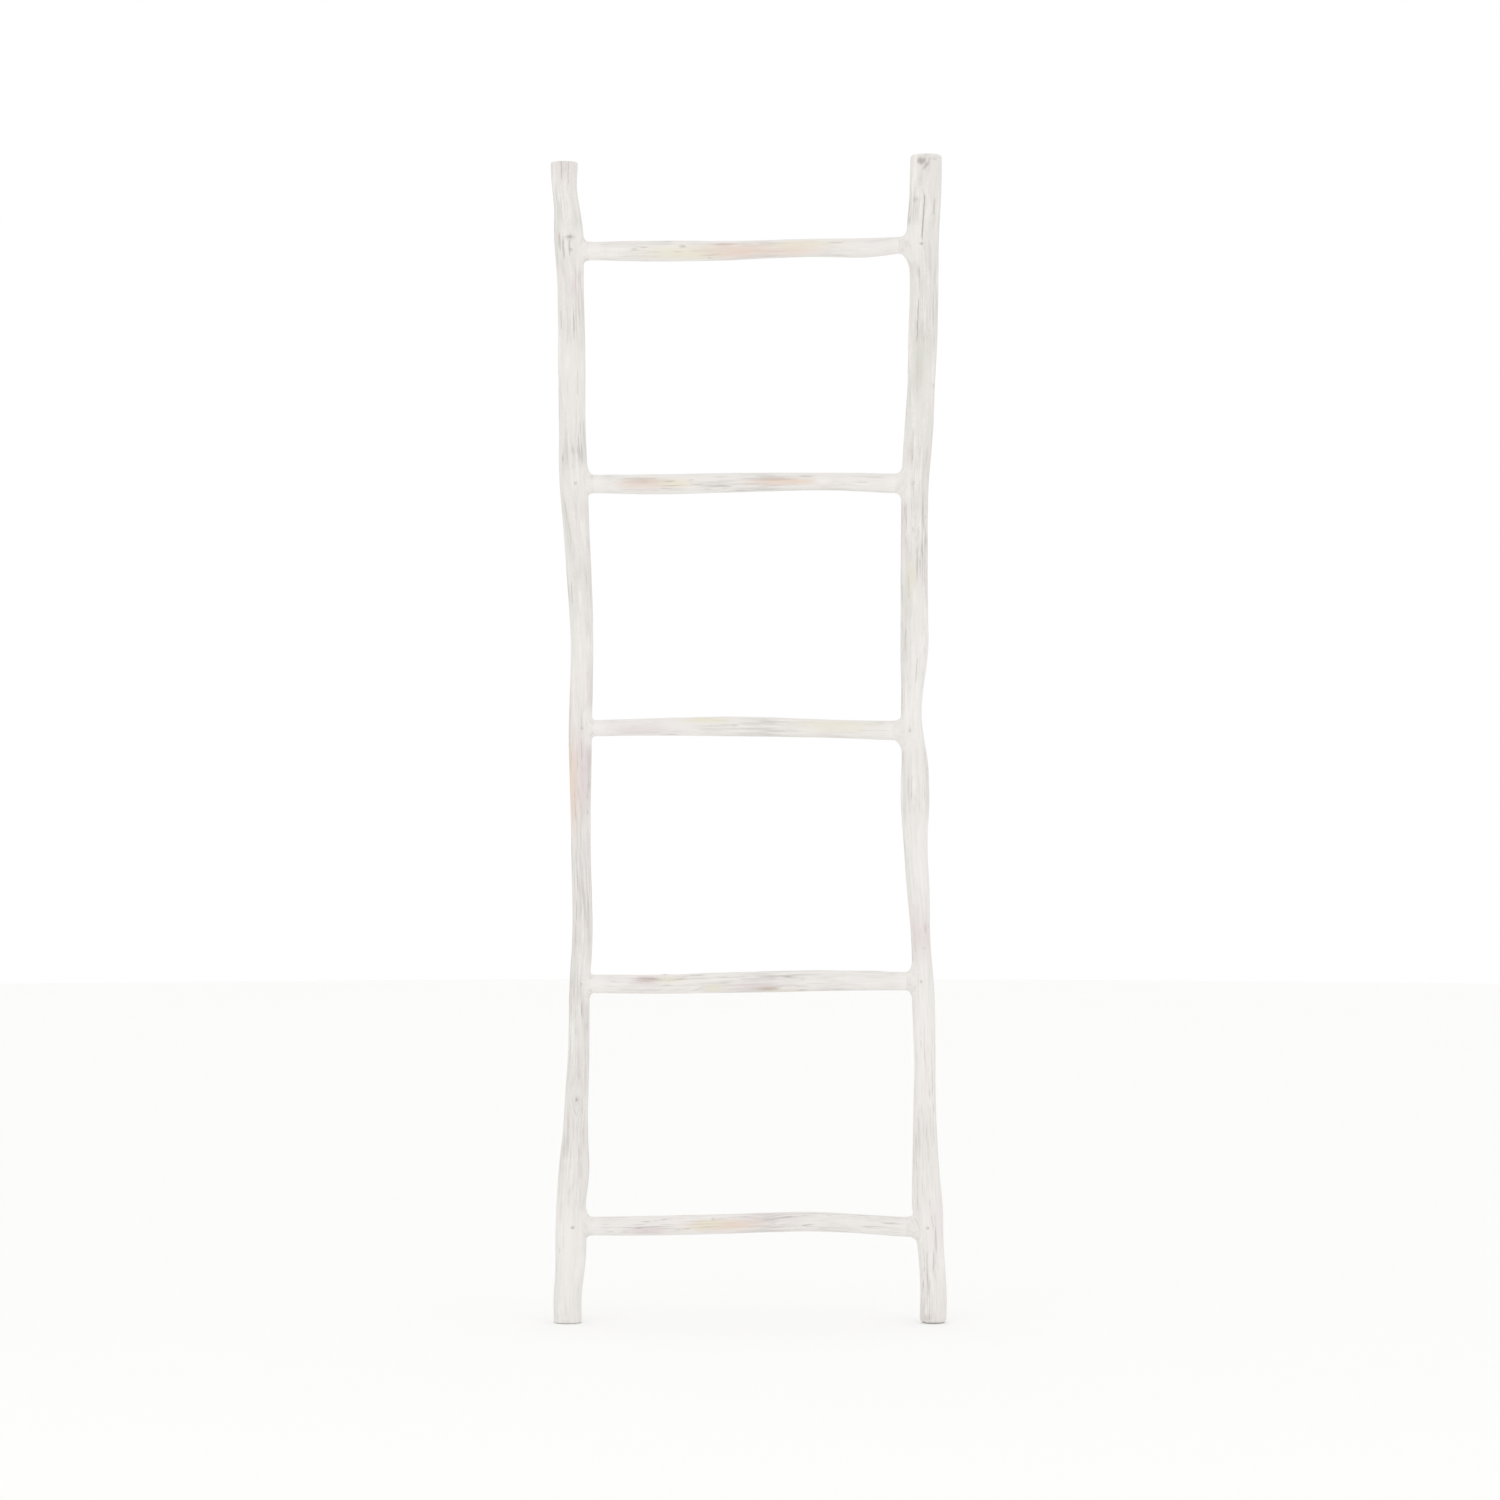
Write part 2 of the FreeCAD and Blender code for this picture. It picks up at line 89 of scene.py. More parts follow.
def points_object(
    name: str, places: Sequence[Vector], rows: Sequence[Mapping[str, float]]
) -> bpy.types.Object:
    """An object of loose points that carry named numbers.

    Args:
        name: The object's name.
        places: Where the points are.
        rows: The numbers of each point, all with the same names.
    """
    mesh = bpy.data.meshes.new(name)
    mesh.from_pydata(places, [], [])
    for key in rows[0]:
        stored = mesh.attributes.new(key, "FLOAT", "POINT")
        stored.data.foreach_set("value", [row[key] for row in rows])
    made = bpy.data.objects.new(name, mesh)
    bpy.context.scene.collection.objects.link(made)
    return made


# Node trees, written as expressions


class Value:
    """A node's output that takes part in arithmetic, adding a Math node for each step."""

    def __init__(self, graph: "Graph", socket: bpy.types.NodeSocket) -> None:
        """Wrap a socket of a graph's tree."""
        self.graph = graph
        self.socket = socket

    def __add__(self, other: "Term") -> "Value":
        """This value plus another."""
        return self.graph.maths("ADD", self, other)

    __radd__ = __add__

    def __sub__(self, other: "Term") -> "Value":
        """This value less another."""
        return self.graph.maths("SUBTRACT", self, other)

    def __rsub__(self, other: "Term") -> "Value":
        """Another value less this one."""
        return self.graph.maths("SUBTRACT", other, self)

    def __mul__(self, other: "Term") -> "Value":
        """This value times another."""
        return self.graph.maths("MULTIPLY", self, other)

    __rmul__ = __mul__

    def __truediv__(self, other: "Term") -> "Value":
        """This value over another."""
        return self.graph.maths("DIVIDE", self, other)

    def __neg__(self) -> "Value":
        """This value with its sign changed."""
        return self.graph.maths("MULTIPLY", self, -1.0)

    def __abs__(self) -> "Value":
        """This value's size."""
        return self.graph.maths("ABSOLUTE", self)


class Direction(Value):
    """A vector output, added and scaled by Vector Math nodes."""

    def __add__(self, other: "Term") -> "Direction":
        """This vector plus another."""
        return self.graph.vector_maths("ADD", self, other)

    def __sub__(self, other: "Term") -> "Direction":
        """This vector less another."""
        return self.graph.vector_maths("SUBTRACT", self, other)

    def __neg__(self) -> "Direction":
        """This vector turned about."""
        return self * -1.0

    def __mul__(self, other: "Term") -> "Direction":
        """This vector scaled by a number, or multiplied part by part by another vector."""
        if isinstance(other, (Direction, tuple, Vector)):
            return self.graph.vector_maths("MULTIPLY", self, other)
        return self.graph.vector_maths("SCALE", self, Scale=other)

    __radd__ = __add__
    __rmul__ = __mul__

    def parts(self) -> tuple[Value, Value, Value]:
        """The three numbers of this vector."""
        split = self.graph.add("ShaderNodeSeparateXYZ", inputs={"Vector": self})
        return split["X"], split["Y"], split["Z"]


Term = Union[Value, float, int, bool, str, Vector, Sequence[float], bpy.types.Material, bpy.types.Object]


class Made:
    """A node that was added to a graph. Its outputs are read by name."""

    def __init__(self, graph: "Graph", node: bpy.types.Node) -> None:
        """Wrap a node of a graph's tree."""
        self.graph = graph
        self.node = node

    def __getitem__(self, name: str) -> Value:
        """The output of that name which the node's settings leave in use."""
        return self.graph.wrapped(in_use(self.node.outputs, name))


def in_use(sockets: Iterable[bpy.types.NodeSocket], name: str) -> bpy.types.NodeSocket:
    """The socket of that name which a node's settings leave in use."""
    return next(s for s in sockets if s.enabled and name in (s.name, s.identifier))


class Graph:
    """A node tree that is written as Python expressions."""

    def __init__(self, tree: bpy.types.NodeTree) -> None:
        """Write into a tree."""
        self.tree = tree

    def wrapped(self, socket: bpy.types.NodeSocket) -> Value:
        """A socket as a value, or as a vector where it holds one."""
        return Direction(self, socket) if socket.type == "VECTOR" else Value(self, socket)

    def add(
        self,
        kind: str,
        settings: Optional[Mapping[str, Any]] = None,
        inputs: Optional[Mapping[str, "Term"]] = None,
    ) -> Made:
        """Add a node of any kind.

        Args:
            kind: The node's type.
            settings: Its properties, set first.
            inputs: A value or link for each named socket.

        Returns:
            The node, with its outputs to be read by name.
        """
        node = self.tree.nodes.new(kind)
        for name, setting in (settings or {}).items():
            setattr(node, name, setting)
        for name, term in (inputs or {}).items():
            self.join(term, in_use(node.inputs, name))
        return Made(self, node)

    def join(self, term: "Term", socket: bpy.types.NodeSocket) -> None:
        """Link a value to a socket, or set a plain number, vector or name on it."""
        if isinstance(term, Value):
            self.tree.links.new(term.socket, socket)
        else:
            socket.default_value = term

    def maths(self, operation: str, *terms: "Term") -> Value:
        """One Math node on up to three terms."""
        made = self.add("ShaderNodeMath", {"operation": operation})
        for term, socket in zip(terms, made.node.inputs):
            self.join(term, socket)
        return made["Value"]

    def vector_maths(self, operation: str, *terms: "Term", **named: "Term") -> Direction:
        """One Vector Math node."""
        made = self.add("ShaderNodeVectorMath", {"operation": operation}, named)
        for term, socket in zip(terms, made.node.inputs):
            self.join(term, socket)
        return made["Vector"]

    def vector(self, x: "Term", y: "Term", z: "Term") -> Direction:
        """A vector from three numbers."""
        return self.add("ShaderNodeCombineXYZ", inputs={"X": x, "Y": y, "Z": z})["Vector"]

    def length(self, vector: "Term") -> Value:
        """How long a vector is."""
        made = self.add("ShaderNodeVectorMath", {"operation": "LENGTH"})
        self.join(vector, made.node.inputs[0])
        return made["Value"]

    def most(self, one: "Term", other: "Term") -> Value:
        """The larger of two values."""
        return self.maths("MAXIMUM", one, other)

    def least(self, one: "Term", other: "Term") -> Value:
        """The smaller of two values."""
        return self.maths("MINIMUM", one, other)

    def fade(self, value: "Term", start: "Term", end: "Term") -> Value:
        """A smooth change from 0 where the value is at its start to 1 where it is at its end."""
        inputs = {"Value": value, "From Min": start, "From Max": end}
        return self.add("ShaderNodeMapRange", {"interpolation_type": "SMOOTHSTEP"}, inputs)["Result"]

    def noise(self, at: "Term", size: float, detail: float = 2.0, seed: float = 0.0) -> Value:
        """Soft random cloud, about 0 to 1.

        Args:
            at: Where it is read, in metres.
            size: How large its shapes are, in metres.
            detail: How many finer layers it has.
            seed: Which of many clouds it is.
        """
        settings = {"noise_dimensions": "4D"}
        inputs = {"Vector": at, "W": seed, "Scale": 1 / size, "Detail": detail}
        return self.add("ShaderNodeTexNoise", settings, inputs)["Fac"]


class MeshGraph(Graph):
    """A Geometry Nodes tree with named inputs, which works on one mesh step by step."""

    SCRATCH = "step_"

    def __init__(self, name: str) -> None:
        """Start a tree whose first input is the mesh."""
        super().__init__(bpy.data.node_groups.new(name, "GeometryNodeTree"))
        self.sizes: dict[str, Any] = {}
        self.tree.interface.new_socket("Mesh", in_out="INPUT", socket_type="NodeSocketGeometry")
        self.tree.interface.new_socket("Mesh", in_out="OUTPUT", socket_type="NodeSocketGeometry")
        self.entry = self.tree.nodes.new("NodeGroupInput")
        self.exit = self.tree.nodes.new("NodeGroupOutput")
        self.given = self.wrapped(self.entry.outputs["Mesh"])
        self.flow = self.given
        self.charts: list[bpy.types.Object] = []

    def size(self, name: str, kind: str, value: Any) -> Value:
        """A named input of the tree, and what this object's modifier gives it.

        Args:
            name: The input's name.
            kind: Its socket's kind, such as Float, Int, Vector or Object.
            value: What the modifier sets.
        """
        socket = self.tree.interface.new_socket(name, in_out="INPUT", socket_type=f"NodeSocket{kind}")
        self.sizes[socket.identifier] = value
        return self.wrapped(self.entry.outputs[name])

    def step(
        self,
        kind: str,
        settings: Optional[Mapping[str, Any]] = None,
        inputs: Optional[Mapping[str, "Term"]] = None,
    ) -> Made:
        """Put the mesh through one more node."""
        made = self.add(kind, settings, {"Geometry": self.flow, **(inputs or {})})
        self.flow = made["Geometry"]
        return made

    def move(self, point: "Term") -> None:
        """Set the position of every point."""
        self.step("GeometryNodeSetPosition", inputs={"Position": point})

    def position(self) -> Direction:
        """Where a point is."""
        return self.add("GeometryNodeInputPosition")["Position"]

    def constant(self, vector: Vector) -> Direction:
        """A fixed direction."""
        return self.add("FunctionNodeInputVector", {"vector": vector})["Vector"]

    def keep(self, name: str, value: Value, where: Optional[Value] = None) -> Value:
        """Store a value on the mesh's points, and give it back as read from there.

        Args:
            name: The name to store it under.
            value: A number or a vector.
            where: Which points to store it on, if not all.
        """
        kind = "FLOAT_VECTOR" if isinstance(value, Direction) else "FLOAT"
        chosen = {} if where is None else {"Selection": where}
        inputs = {"Name": name, "Value": value, **chosen}
        self.step("GeometryNodeStoreNamedAttribute", {"data_type": kind}, inputs)
        return self.read(name, kind)

    def hold(self, name: str, value: Value) -> Value:
        """Work a value out once, for later steps of this tree only."""
        return self.keep(self.SCRATCH + name, value)

    def read(self, name: str, kind: str = "FLOAT") -> Value:
        """A stored value."""
        named = self.add("GeometryNodeInputNamedAttribute", {"data_type": kind}, {"Name": name})
        return named["Attribute"]

    def sample(self, mesh: Value, value: Value, number: Value) -> Value:
        """A value of one numbered point of another mesh."""
        kind = "FLOAT_VECTOR" if isinstance(value, Direction) else "FLOAT"
        inputs = {"Geometry": mesh, "Value": value, "Index": number}
        return self.add("GeometryNodeSampleIndex", {"data_type": kind}, inputs)["Value"]

    def chart(self, name: str, rows: Sequence[Mapping[str, float]]) -> Value:
        """A mesh whose numbered points carry rows of numbers, which the tree looks up.

        Args:
            name: The name of the tree's input for it.
            rows: The numbers of each point, all with the same names.
        """
        made = points_object(f"{self.tree.name}_chart", [Vector((0, 0, 0))] * len(rows), rows)
        self.charts.append(made)
        given = self.size(name, "Object", made)
        return self.add("GeometryNodeObjectInfo", inputs={"Object": given})["Geometry"]

    def count(self, mesh: Value) -> Value:
        """How many points a mesh has."""
        return self.add("GeometryNodeAttributeDomainSize", inputs={"Geometry": mesh})["Point Count"]

    @contextmanager
    def repeated(self, times: Value) -> Iterator[Value]:
        """Put the mesh through the steps of the with block many times. Gives the round's number."""
        start = self.add("GeometryNodeRepeatInput")
        end = self.add("GeometryNodeRepeatOutput")
        start.node.pair_with_output(end.node)
        self.join(times, start.node.inputs["Iterations"])
        self.join(self.flow, start.node.inputs["Geometry"])
        self.flow = start["Geometry"]
        yield start["Iteration"]
        self.join(self.flow, end.node.inputs["Geometry"])
        self.flow = end["Geometry"]

    def settle(self, piece: bpy.types.Object, material: bpy.types.Material) -> None:
        """End the tree with its material, run it on a piece and keep the plain mesh that it gives."""
        passing = {"Name": self.SCRATCH + "*"}
        self.step("GeometryNodeRemoveAttribute", {"pattern_mode": "WILDCARD"}, passing)
        self.step("GeometryNodeSetShadeSmooth")
        self.step("GeometryNodeRealizeInstances")
        self.step("GeometryNodeSetMaterial", inputs={"Material": material})
        self.join(self.flow, self.exit.inputs["Mesh"])
        modifier = piece.modifiers.new(self.tree.name, "NODES")
        modifier.node_group = self.tree
        for identifier, value in self.sizes.items():
            modifier[identifier] = value
        depsgraph = bpy.context.evaluated_depsgraph_get()
        finished = bpy.data.meshes.new_from_object(
            piece.evaluated_get(depsgraph), preserve_all_data_layers=True, depsgraph=depsgraph
        )
        piece.modifiers.clear()
        rough, piece.data = piece.data, finished
        finished.name = piece.name
        bpy.data.node_groups.remove(self.tree)
        for mesh in [rough] + [chart.data for chart in self.charts]:
            bpy.data.meshes.remove(mesh)


class Finish(Graph, ABC):
    """A material that is written as expressions over the attributes that a piece's mesh carries."""

    def __init__(self, name: str) -> None:
        """Start a material with its surface shader."""
        self.material = bpy.data.materials.new(name)
        self.material.use_nodes = True
        super().__init__(self.material.node_tree)
        self.surface = self.tree.nodes["Principled BSDF"]

    def stored(self, name: str) -> Value:
        """A number that the mesh carries."""
        return self.add("ShaderNodeAttribute", {"attribute_name": name})["Fac"]

    def stored_vector(self, name: str) -> Direction:
        """A vector that the mesh carries."""
        return self.add("ShaderNodeAttribute", {"attribute_name": name})["Vector"]

    def tinted(self, base: "Term", tint: "Term", share: "Term") -> Value:
        """A colour with a share of another mixed in."""
        inputs = {"Factor": share, "A": base, "B": tint}
        return self.add("ShaderNodeMix", {"data_type": "RGBA"}, inputs)["Result"]

    def dress(self, **sockets: "Term") -> None:
        """Feed the surface shader's sockets, with an underscore standing for a space."""
        for name, term in sockets.items():
            self.join(term, self.surface.inputs[name.replace("_", " ")])

    def bumped(self, height: Value, depth: float, strength: float = 1.0) -> Direction:
        """The normal of a surface with fine relief, whose height of 1 stands a depth proud."""
        inputs = {"Height": height, "Distance": depth, "Strength": strength}
        return self.add("ShaderNodeBump", inputs=inputs)["Normal"]


# Finishes


# The tints that two vectors on a piece's mesh carry, warm and cool, one in each of their numbers
WARM_TINTS = ("peach", "rose", "honey")
COOL_TINTS = ("moss", "umber", "chalk")


@dataclass(frozen=True)
class WashColours:
    """The colours of a whitewashed branch, as seen."""

    chalk: Colour = seen(238, 235, 232)
    wash: Colour = seen(227, 223, 219)
    thin: Colour = seen(211, 206, 201)
    bare: Colour = seen(198, 188, 176)
    weathered: Colour = seen(184, 178, 173)
    # crack also colours the painted shade in the nail pits
    crack: Colour = seen(138, 128, 119)
    peach: Colour = seen(228, 209, 196)
    rose: Colour = seen(221, 209, 210)
    honey: Colour = seen(229, 224, 205)
    moss: Colour = seen(211, 211, 202)
    umber: Colour = seen(188, 170, 156)


class Whitewash(Finish):
    """Thin white paint brushed and rubbed over peeled wood, worn through where the wood stands up.

    It reads the branch's own straight coordinates (grain), its relief in metres, its dark marks and the
    painted shade of its nail pits (dark), its worn patches (bare), and its tints (warm and cool).
    """

    COLOURS = WashColours()
    WEAR_HEIGHT = 1.6 * MM  # wood standing this proud is worn by 1 more, on the scale of thinness
    FILL_DEPTH = 4 * MM  # a hollow this deep holds 1 more of paint, on the scale of loaded
    FINE_RELIEF = 0.35 * MM
    FINE_STRENGTH = 0.55
    WOOD_IOR = 1.45

    def __init__(self, name: str, cover: float, seed: float) -> None:
        """Write the material.

        Args:
            name: The material's name.
            cover: How well the paint covers: 0 hardly at all, and 1 or a little more fully.
            seed: Which of many patterns it has.
        """
        super().__init__(name)
        self.grain = self.stored_vector("grain")
        self.fibre = self.pattern(seed + 1, 2.4 * MM, along=0.05)
        self.hair = self.pattern(seed + 2, 0.7 * MM, along=0.025, detail=2.0)
        self.brush = self.pattern(seed + 3, 7 * MM, along=0.14)
        self.cloud = self.pattern(seed + 4, 36 * MM, along=0.4)
        speck = self.noise(self.grain, 2.6 * MM, seed=seed + 5)
        haze = self.pattern(seed + 6, 9 * MM, along=0.2)
        shares = self.stored_vector("warm").parts() + self.stored_vector("cool").parts()
        self.tints = dict(zip(WARM_TINTS + COOL_TINTS, shares))

        relief = self.stored("relief")
        thinness = self.cloud * 0.9 + self.brush * 0.7 + self.fibre * 0.8
        thinness = thinness + relief / self.WEAR_HEIGHT + self.stored("bare") * 0.55
        worn = self.fade(thinness, 1.27 + 0.3 * cover, 1.7 + 0.3 * cover)
        rubbed = self.fade(thinness + self.hair * 0.25, 1.6 + 0.3 * cover, 1.95 + 0.3 * cover)
        loaded = self.brush + speck * 0.3 + self.hair * 0.15 - relief / self.FILL_DEPTH
        thick = self.fade(loaded, 0.7, 0.95)

        colour = self.tinted(self.COLOURS.wash, self.COLOURS.chalk, self.most(thick, (cover - 0.75) * 1.4))
        colour = self.tinted(colour, self.COLOURS.thin, worn)
        colour = self.tinted(colour, self.COLOURS.bare, rubbed * 0.5)
        colour = self.cracked(self.patched(self.streaked(colour, haze, cover)))
        heights = self.fibre * 0.45 + self.hair * 0.3 + speck * 0.1 + thick * 0.15
        self.dress(
            Base_Color=colour,
            Roughness=0.78 - 0.14 * rubbed + 0.1 * thick,
            Normal=self.bumped(heights, self.FINE_RELIEF, self.FINE_STRENGTH),
            IOR=self.WOOD_IOR,
        )

    def pattern(self, seed: float, size: float, along: float, detail: float = 3.0) -> Value:
        """Random cloud drawn out along the branch: the smaller along is, the longer its shapes."""
        return self.noise(self.grain * (1.0, 1.0, along), size, detail, seed)

    def streaked(self, colour: Value, haze: Value, cover: float) -> Value:
        """Grey weathered wood that shows through as smoky patches and as streaks."""
        open_wood = 1 - self.tints["chalk"] * 0.85
        smoky = self.fade(haze, 0.5, 0.68) * self.fade(self.fibre + self.hair * 0.4, 0.95, 0.5)
        colour = self.tinted(colour, self.COLOURS.weathered, smoky * open_wood * (0.62 - 0.25 * cover))
        lined = self.fade(self.fibre + self.hair * 0.3, 0.74, 0.52)
        streak = lined * self.fade(self.cloud + self.brush * 0.3, 0.5, 0.84)
        return self.tinted(colour, self.COLOURS.weathered, streak * open_wood * (0.7 - 0.2 * cover))

    def patched(self, colour: Value) -> Value:
        """The six tints, each a little broken by the grain."""
        for tint, share in self.tints.items():
            patchy = share * self.fade(self.fibre + self.brush * 0.6, 0.45, 0.95)
            tone = getattr(self.COLOURS, tint)
            colour = self.tinted(colour, tone, self.least(share * 0.55 + patchy * 0.45, 1.0))
        return colour

    def cracked(self, colour: Value) -> Value:
        """Dark cracks and stains, and the painted shade of the nail pits, frayed by the finest fibres."""
        depth = self.fade(self.stored("dark") + self.hair * 0.12 - 0.06, 0.04, 1.0)
        return self.tinted(colour, self.COLOURS.crack, self.least(depth, 0.92))


class Steel(Finish):
    """Dull nail steel, touched by the paint that was brushed over it."""

    BARE = seen(128, 122, 116)
    RUST = seen(126, 96, 74)
    PAINT = seen(224, 220, 214)

    def __init__(self) -> None:
        """Write the material."""
        super().__init__("nail_steel")
        place = self.add("ShaderNodeTexCoord")["Object"]
        blotch = self.noise(place, 1.6 * MM, detail=3.0, seed=5.0)
        painted = self.fade(blotch, 0.3, 0.42)
        rusty = self.fade(self.noise(place, 0.9 * MM, seed=9.0), 0.5, 0.7)
        self.dress(
            Base_Color=self.tinted(self.tinted(self.BARE, self.RUST, rusty), self.PAINT, painted),
            Metallic=(1 - painted) * (1 - rusty * 0.7),
            Roughness=0.42 + painted * 0.35 + rusty * 0.15,
            Normal=self.bumped(blotch, 0.1 * MM, 0.5),
        )


class PaleFloor(Finish):
    """Smooth, very pale studio floor."""

    LIGHTER = seen(252, 252, 251)
    DARKER = seen(251, 251, 250)

    def __init__(self) -> None:
        """Write the material."""
        super().__init__("pale_floor")
        place = self.add("ShaderNodeTexCoord")["Object"]
        cloud = self.noise(place, 0.6, seed=3.0)
        self.dress(Base_Color=self.tinted(self.LIGHTER, self.DARKER, cloud), Roughness=0.9)


# What lies on a branch


@dataclass(frozen=True)
class Effect:
    """What a mark does to the wood and its paint, at its full strength.

    line is 1 for a thin line along the grain and 0 for a patch. soft spreads the patch's edge. groove
    is how deep it is cut in, in metres. shade darkens, rub wears the paint thin, and knot raises a
    healed stub. The other six mix in a tint each.
    """

    line: float = 0.0
    soft: float = 0.0
    groove: float = 0.0
    shade: float = 0.0
    rub: float = 0.0
    knot: float = 0.0
    peach: float = 0.0
    rose: float = 0.0
    honey: float = 0.0
    moss: float = 0.0
    umber: float = 0.0
    chalk: float = 0.0


class Kind(Enum):
    """What a mark on a branch is."""

    CHECK = Effect(line=1.0, groove=1.2 * MM, shade=0.72)  # a drying crack
    STREAK = Effect(line=1.0, groove=0.35 * MM, shade=0.48)  # a line that the paint skipped
    STAIN = Effect(groove=0.2 * MM, shade=0.45)
    NICK = Effect(groove=0.8 * MM, shade=0.65)  # a cut across the grain
    KNOT = Effect(knot=1.0)  # a healed branch stub
    DENT = Effect(groove=1.0 * MM, rub=0.8)
    WORN = Effect(rub=1.0)
    PEACH = Effect(soft=1.0, peach=1.0)
    ROSE = Effect(soft=1.0, rose=1.0)
    HONEY = Effect(soft=1.0, honey=1.0)
    MOSS = Effect(soft=1.0, moss=1.0)
    UMBER = Effect(soft=1.0, umber=1.0)
    CHALK = Effect(soft=1.0, chalk=1.0)


@dataclass(frozen=True)
class Mark:
    """A mark on the front of the ladder, in millimetres as seen from the front.

    x is measured from the middle of the ladder and z from the floor. long is how far the mark reaches
    each way along its branch and wide how far across it. power is its strength. lean turns it: how far
    it moves across the branch for each millimetre along it.
    """

    kind: Kind
    x: float
    z: float
    long: float
    wide: float
    power: float = 1.0
    lean: float = 0.0


@dataclass(frozen=True)
class Spot:
    """A mark at its own place on one branch: metres along it, and the turn round it in radians."""

    kind: Kind
    along: float
    turn: float
    long: float
    wide: float
    power: float
    lean: float = 0.0

    def numbers(self) -> dict[str, float]:
        """Everything that the tree needs to know of the spot, by name."""
        own = {f.name: getattr(self, f.name) for f in fields(self) if f.name != "kind"}
        effect = self.kind.value
        return {**own, **{f.name: getattr(effect, f.name) for f in fields(effect)}}


# Spines


class Axis(Enum):
    """Which way a spine runs. Each has the two directions that span its rings, and its own."""

    UPRIGHT = ((1, 0, 0), (0, 1, 0), (0, 0, 1))
    LEVEL = ((0, 1, 0), (0, 0, 1), (1, 0, 0))
    DEEP = ((0, 0, 1), (1, 0, 0), (0, 1, 0))

    def vectors(self) -> tuple[Vector, Vector, Vector]:
        """The two directions that span a ring, and the spine's own direction."""
        first, second, own = self.value
        return Vector(first), Vector(second), Vector(own)

    def moved(self, point: Vector, place: float) -> Vector:
        """A point moved along the spine's direction to a place."""
        moved = point.copy()
        moved[self.value[2].index(1)] = place
        return moved


FRONT = Vector((0, -1, 0))


@dataclass
class Ring:
    """One ring of a spine.

    centre is its middle, and reach_1 and reach_2 are its half widths along its two directions. travel
    is the distance along the branch. face is -1 on the cut face at the start, 1 on the one at the end
    and 0 between. lumpy is how much of its piece's relief it takes. hug says how fully the ring follows
    the rail that it meets, below 0 for the left one, and clear is how far it then stands off the rail.
    margin is how far it stands off the rung at least, and grip says how fully it keeps to that.
    """

    centre: Vector
    reach_1: float
    reach_2: float
    travel: float
    face: float = 0.0
    lumpy: float = 1.0
    hug: float = 0.0
    clear: float = 0.0
    grip: float = 0.0
    margin: float = 0.0

    def numbers(self) -> dict[str, float]:
        """Everything but the centre, by name."""
        return {name: getattr(self, name) for name in RING_NUMBERS}


RING_NUMBERS = [f.name for f in fields(Ring) if f.name != "centre"]


class Probe:
    """Measures a node of the construction with straight rays."""

    RANGE = 0.3  # how far off a ray starts
    WORST = 2  # how many points of a section are left out
    FEWEST = 4  # how many are kept at least

    def __init__(self, node: str) -> None:
        """Take a node's mesh, and leave it as it is."""
        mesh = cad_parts[node].data
        self.tree = BVHTree.FromPolygons(
            [v.co.copy() for v in mesh.vertices], [tuple(p.vertices) for p in mesh.polygons]
        )
        self.low, self.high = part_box(node)

    def surface(self, centre: Vector, outward: Vector) -> Optional[Vector]:
        """Where a ray from well outside, aimed at a centre, first meets the node."""
        start = centre + outward * self.RANGE
        return self.tree.ray_cast(start, -outward, self.RANGE)[0]

    def circle(
        self, centre: Vector, axis: Axis, turns: Sequence[float], passes: int = 2
    ) -> tuple[Vector, float]:
        """The circle that a branch's section is, found from rays at several turns.

        Args:
            centre: A rough centre of the section.
            axis: Which way the branch runs.
            turns: Where round the section to look, in radians.
            passes: How often the centre is bettered. The worst points are left out each time.

        Returns:
            The centre and the radius.
        """
        first, second, own = axis.vectors()
        radius = 0.0
        for _ in range(passes):
            directions = [first * math.cos(t) + second * math.sin(t) for t in turns]
            hits = [self.surface(centre, d) for d in directions]
            flat = [(h.dot(first), h.dot(second)) for h in hits if h is not None]
            a, b, radius = self._fitted(np.array(flat))
            misses = [abs(math.hypot(u - a, v - b) - radius) for u, v in flat]
            keep = np.argsort(misses)[: max(self.FEWEST, len(flat) - self.WORST)]
            a, b, radius = self._fitted(np.array(flat)[keep])
            centre = first * a + second * b + own * centre.dot(own)
        return centre, radius

    @staticmethod
    def _fitted(points: np.ndarray) -> tuple[float, float, float]:
        """The least-squares circle through points: its middle's two numbers and its radius."""
        sums = np.column_stack([2 * points, np.ones(len(points))])
        (a, b, c), *_ = np.linalg.lstsq(sums, (points**2).sum(axis=1), rcond=None)
        return float(a), float(b), math.sqrt(c + a * a + b * b)


@dataclass(frozen=True)
class Course:
    """A branch's measured line: centres and radii at distances along it."""

    at: np.ndarray
    centres: np.ndarray
    radii: np.ndarray

    @staticmethod
    def smoothed(at: Sequence[float], circles: Sequence[tuple[Vector, float]]) -> "Course":
        """A course through measured circles, evened out between neighbours."""

        def even(rows: np.ndarray) -> np.ndarray:
            """Each row with half of its two neighbours' mean."""
            ends = np.concatenate([rows[:1], rows, rows[-1:]])
            return (ends[:-2] + 2 * ends[1:-1] + ends[2:]) / 4

        centres = np.array([tuple(centre) for centre, _ in circles])
        radii = np.array([radius for _, radius in circles])
        return Course(np.array(at), even(even(centres)), even(even(radii)))

    def centre(self, at: float) -> Vector:
        """The line's point at a distance."""
        return Vector([float(np.interp(at, self.at, self.centres[:, k])) for k in range(3)])

    def radius(self, at: float) -> float:
        """The branch's radius at a distance."""
        return float(np.interp(at, self.at, self.radii))


@dataclass(frozen=True)
class Window:
    """A stretch of a spine with finer steps: its middle, half its length and the step."""

    middle: float
    half: float
    step: float


def all_round(count: int) -> list[float]:
    """Turns at even steps all the way round."""
    return [TURN * k / count for k in range(count)]


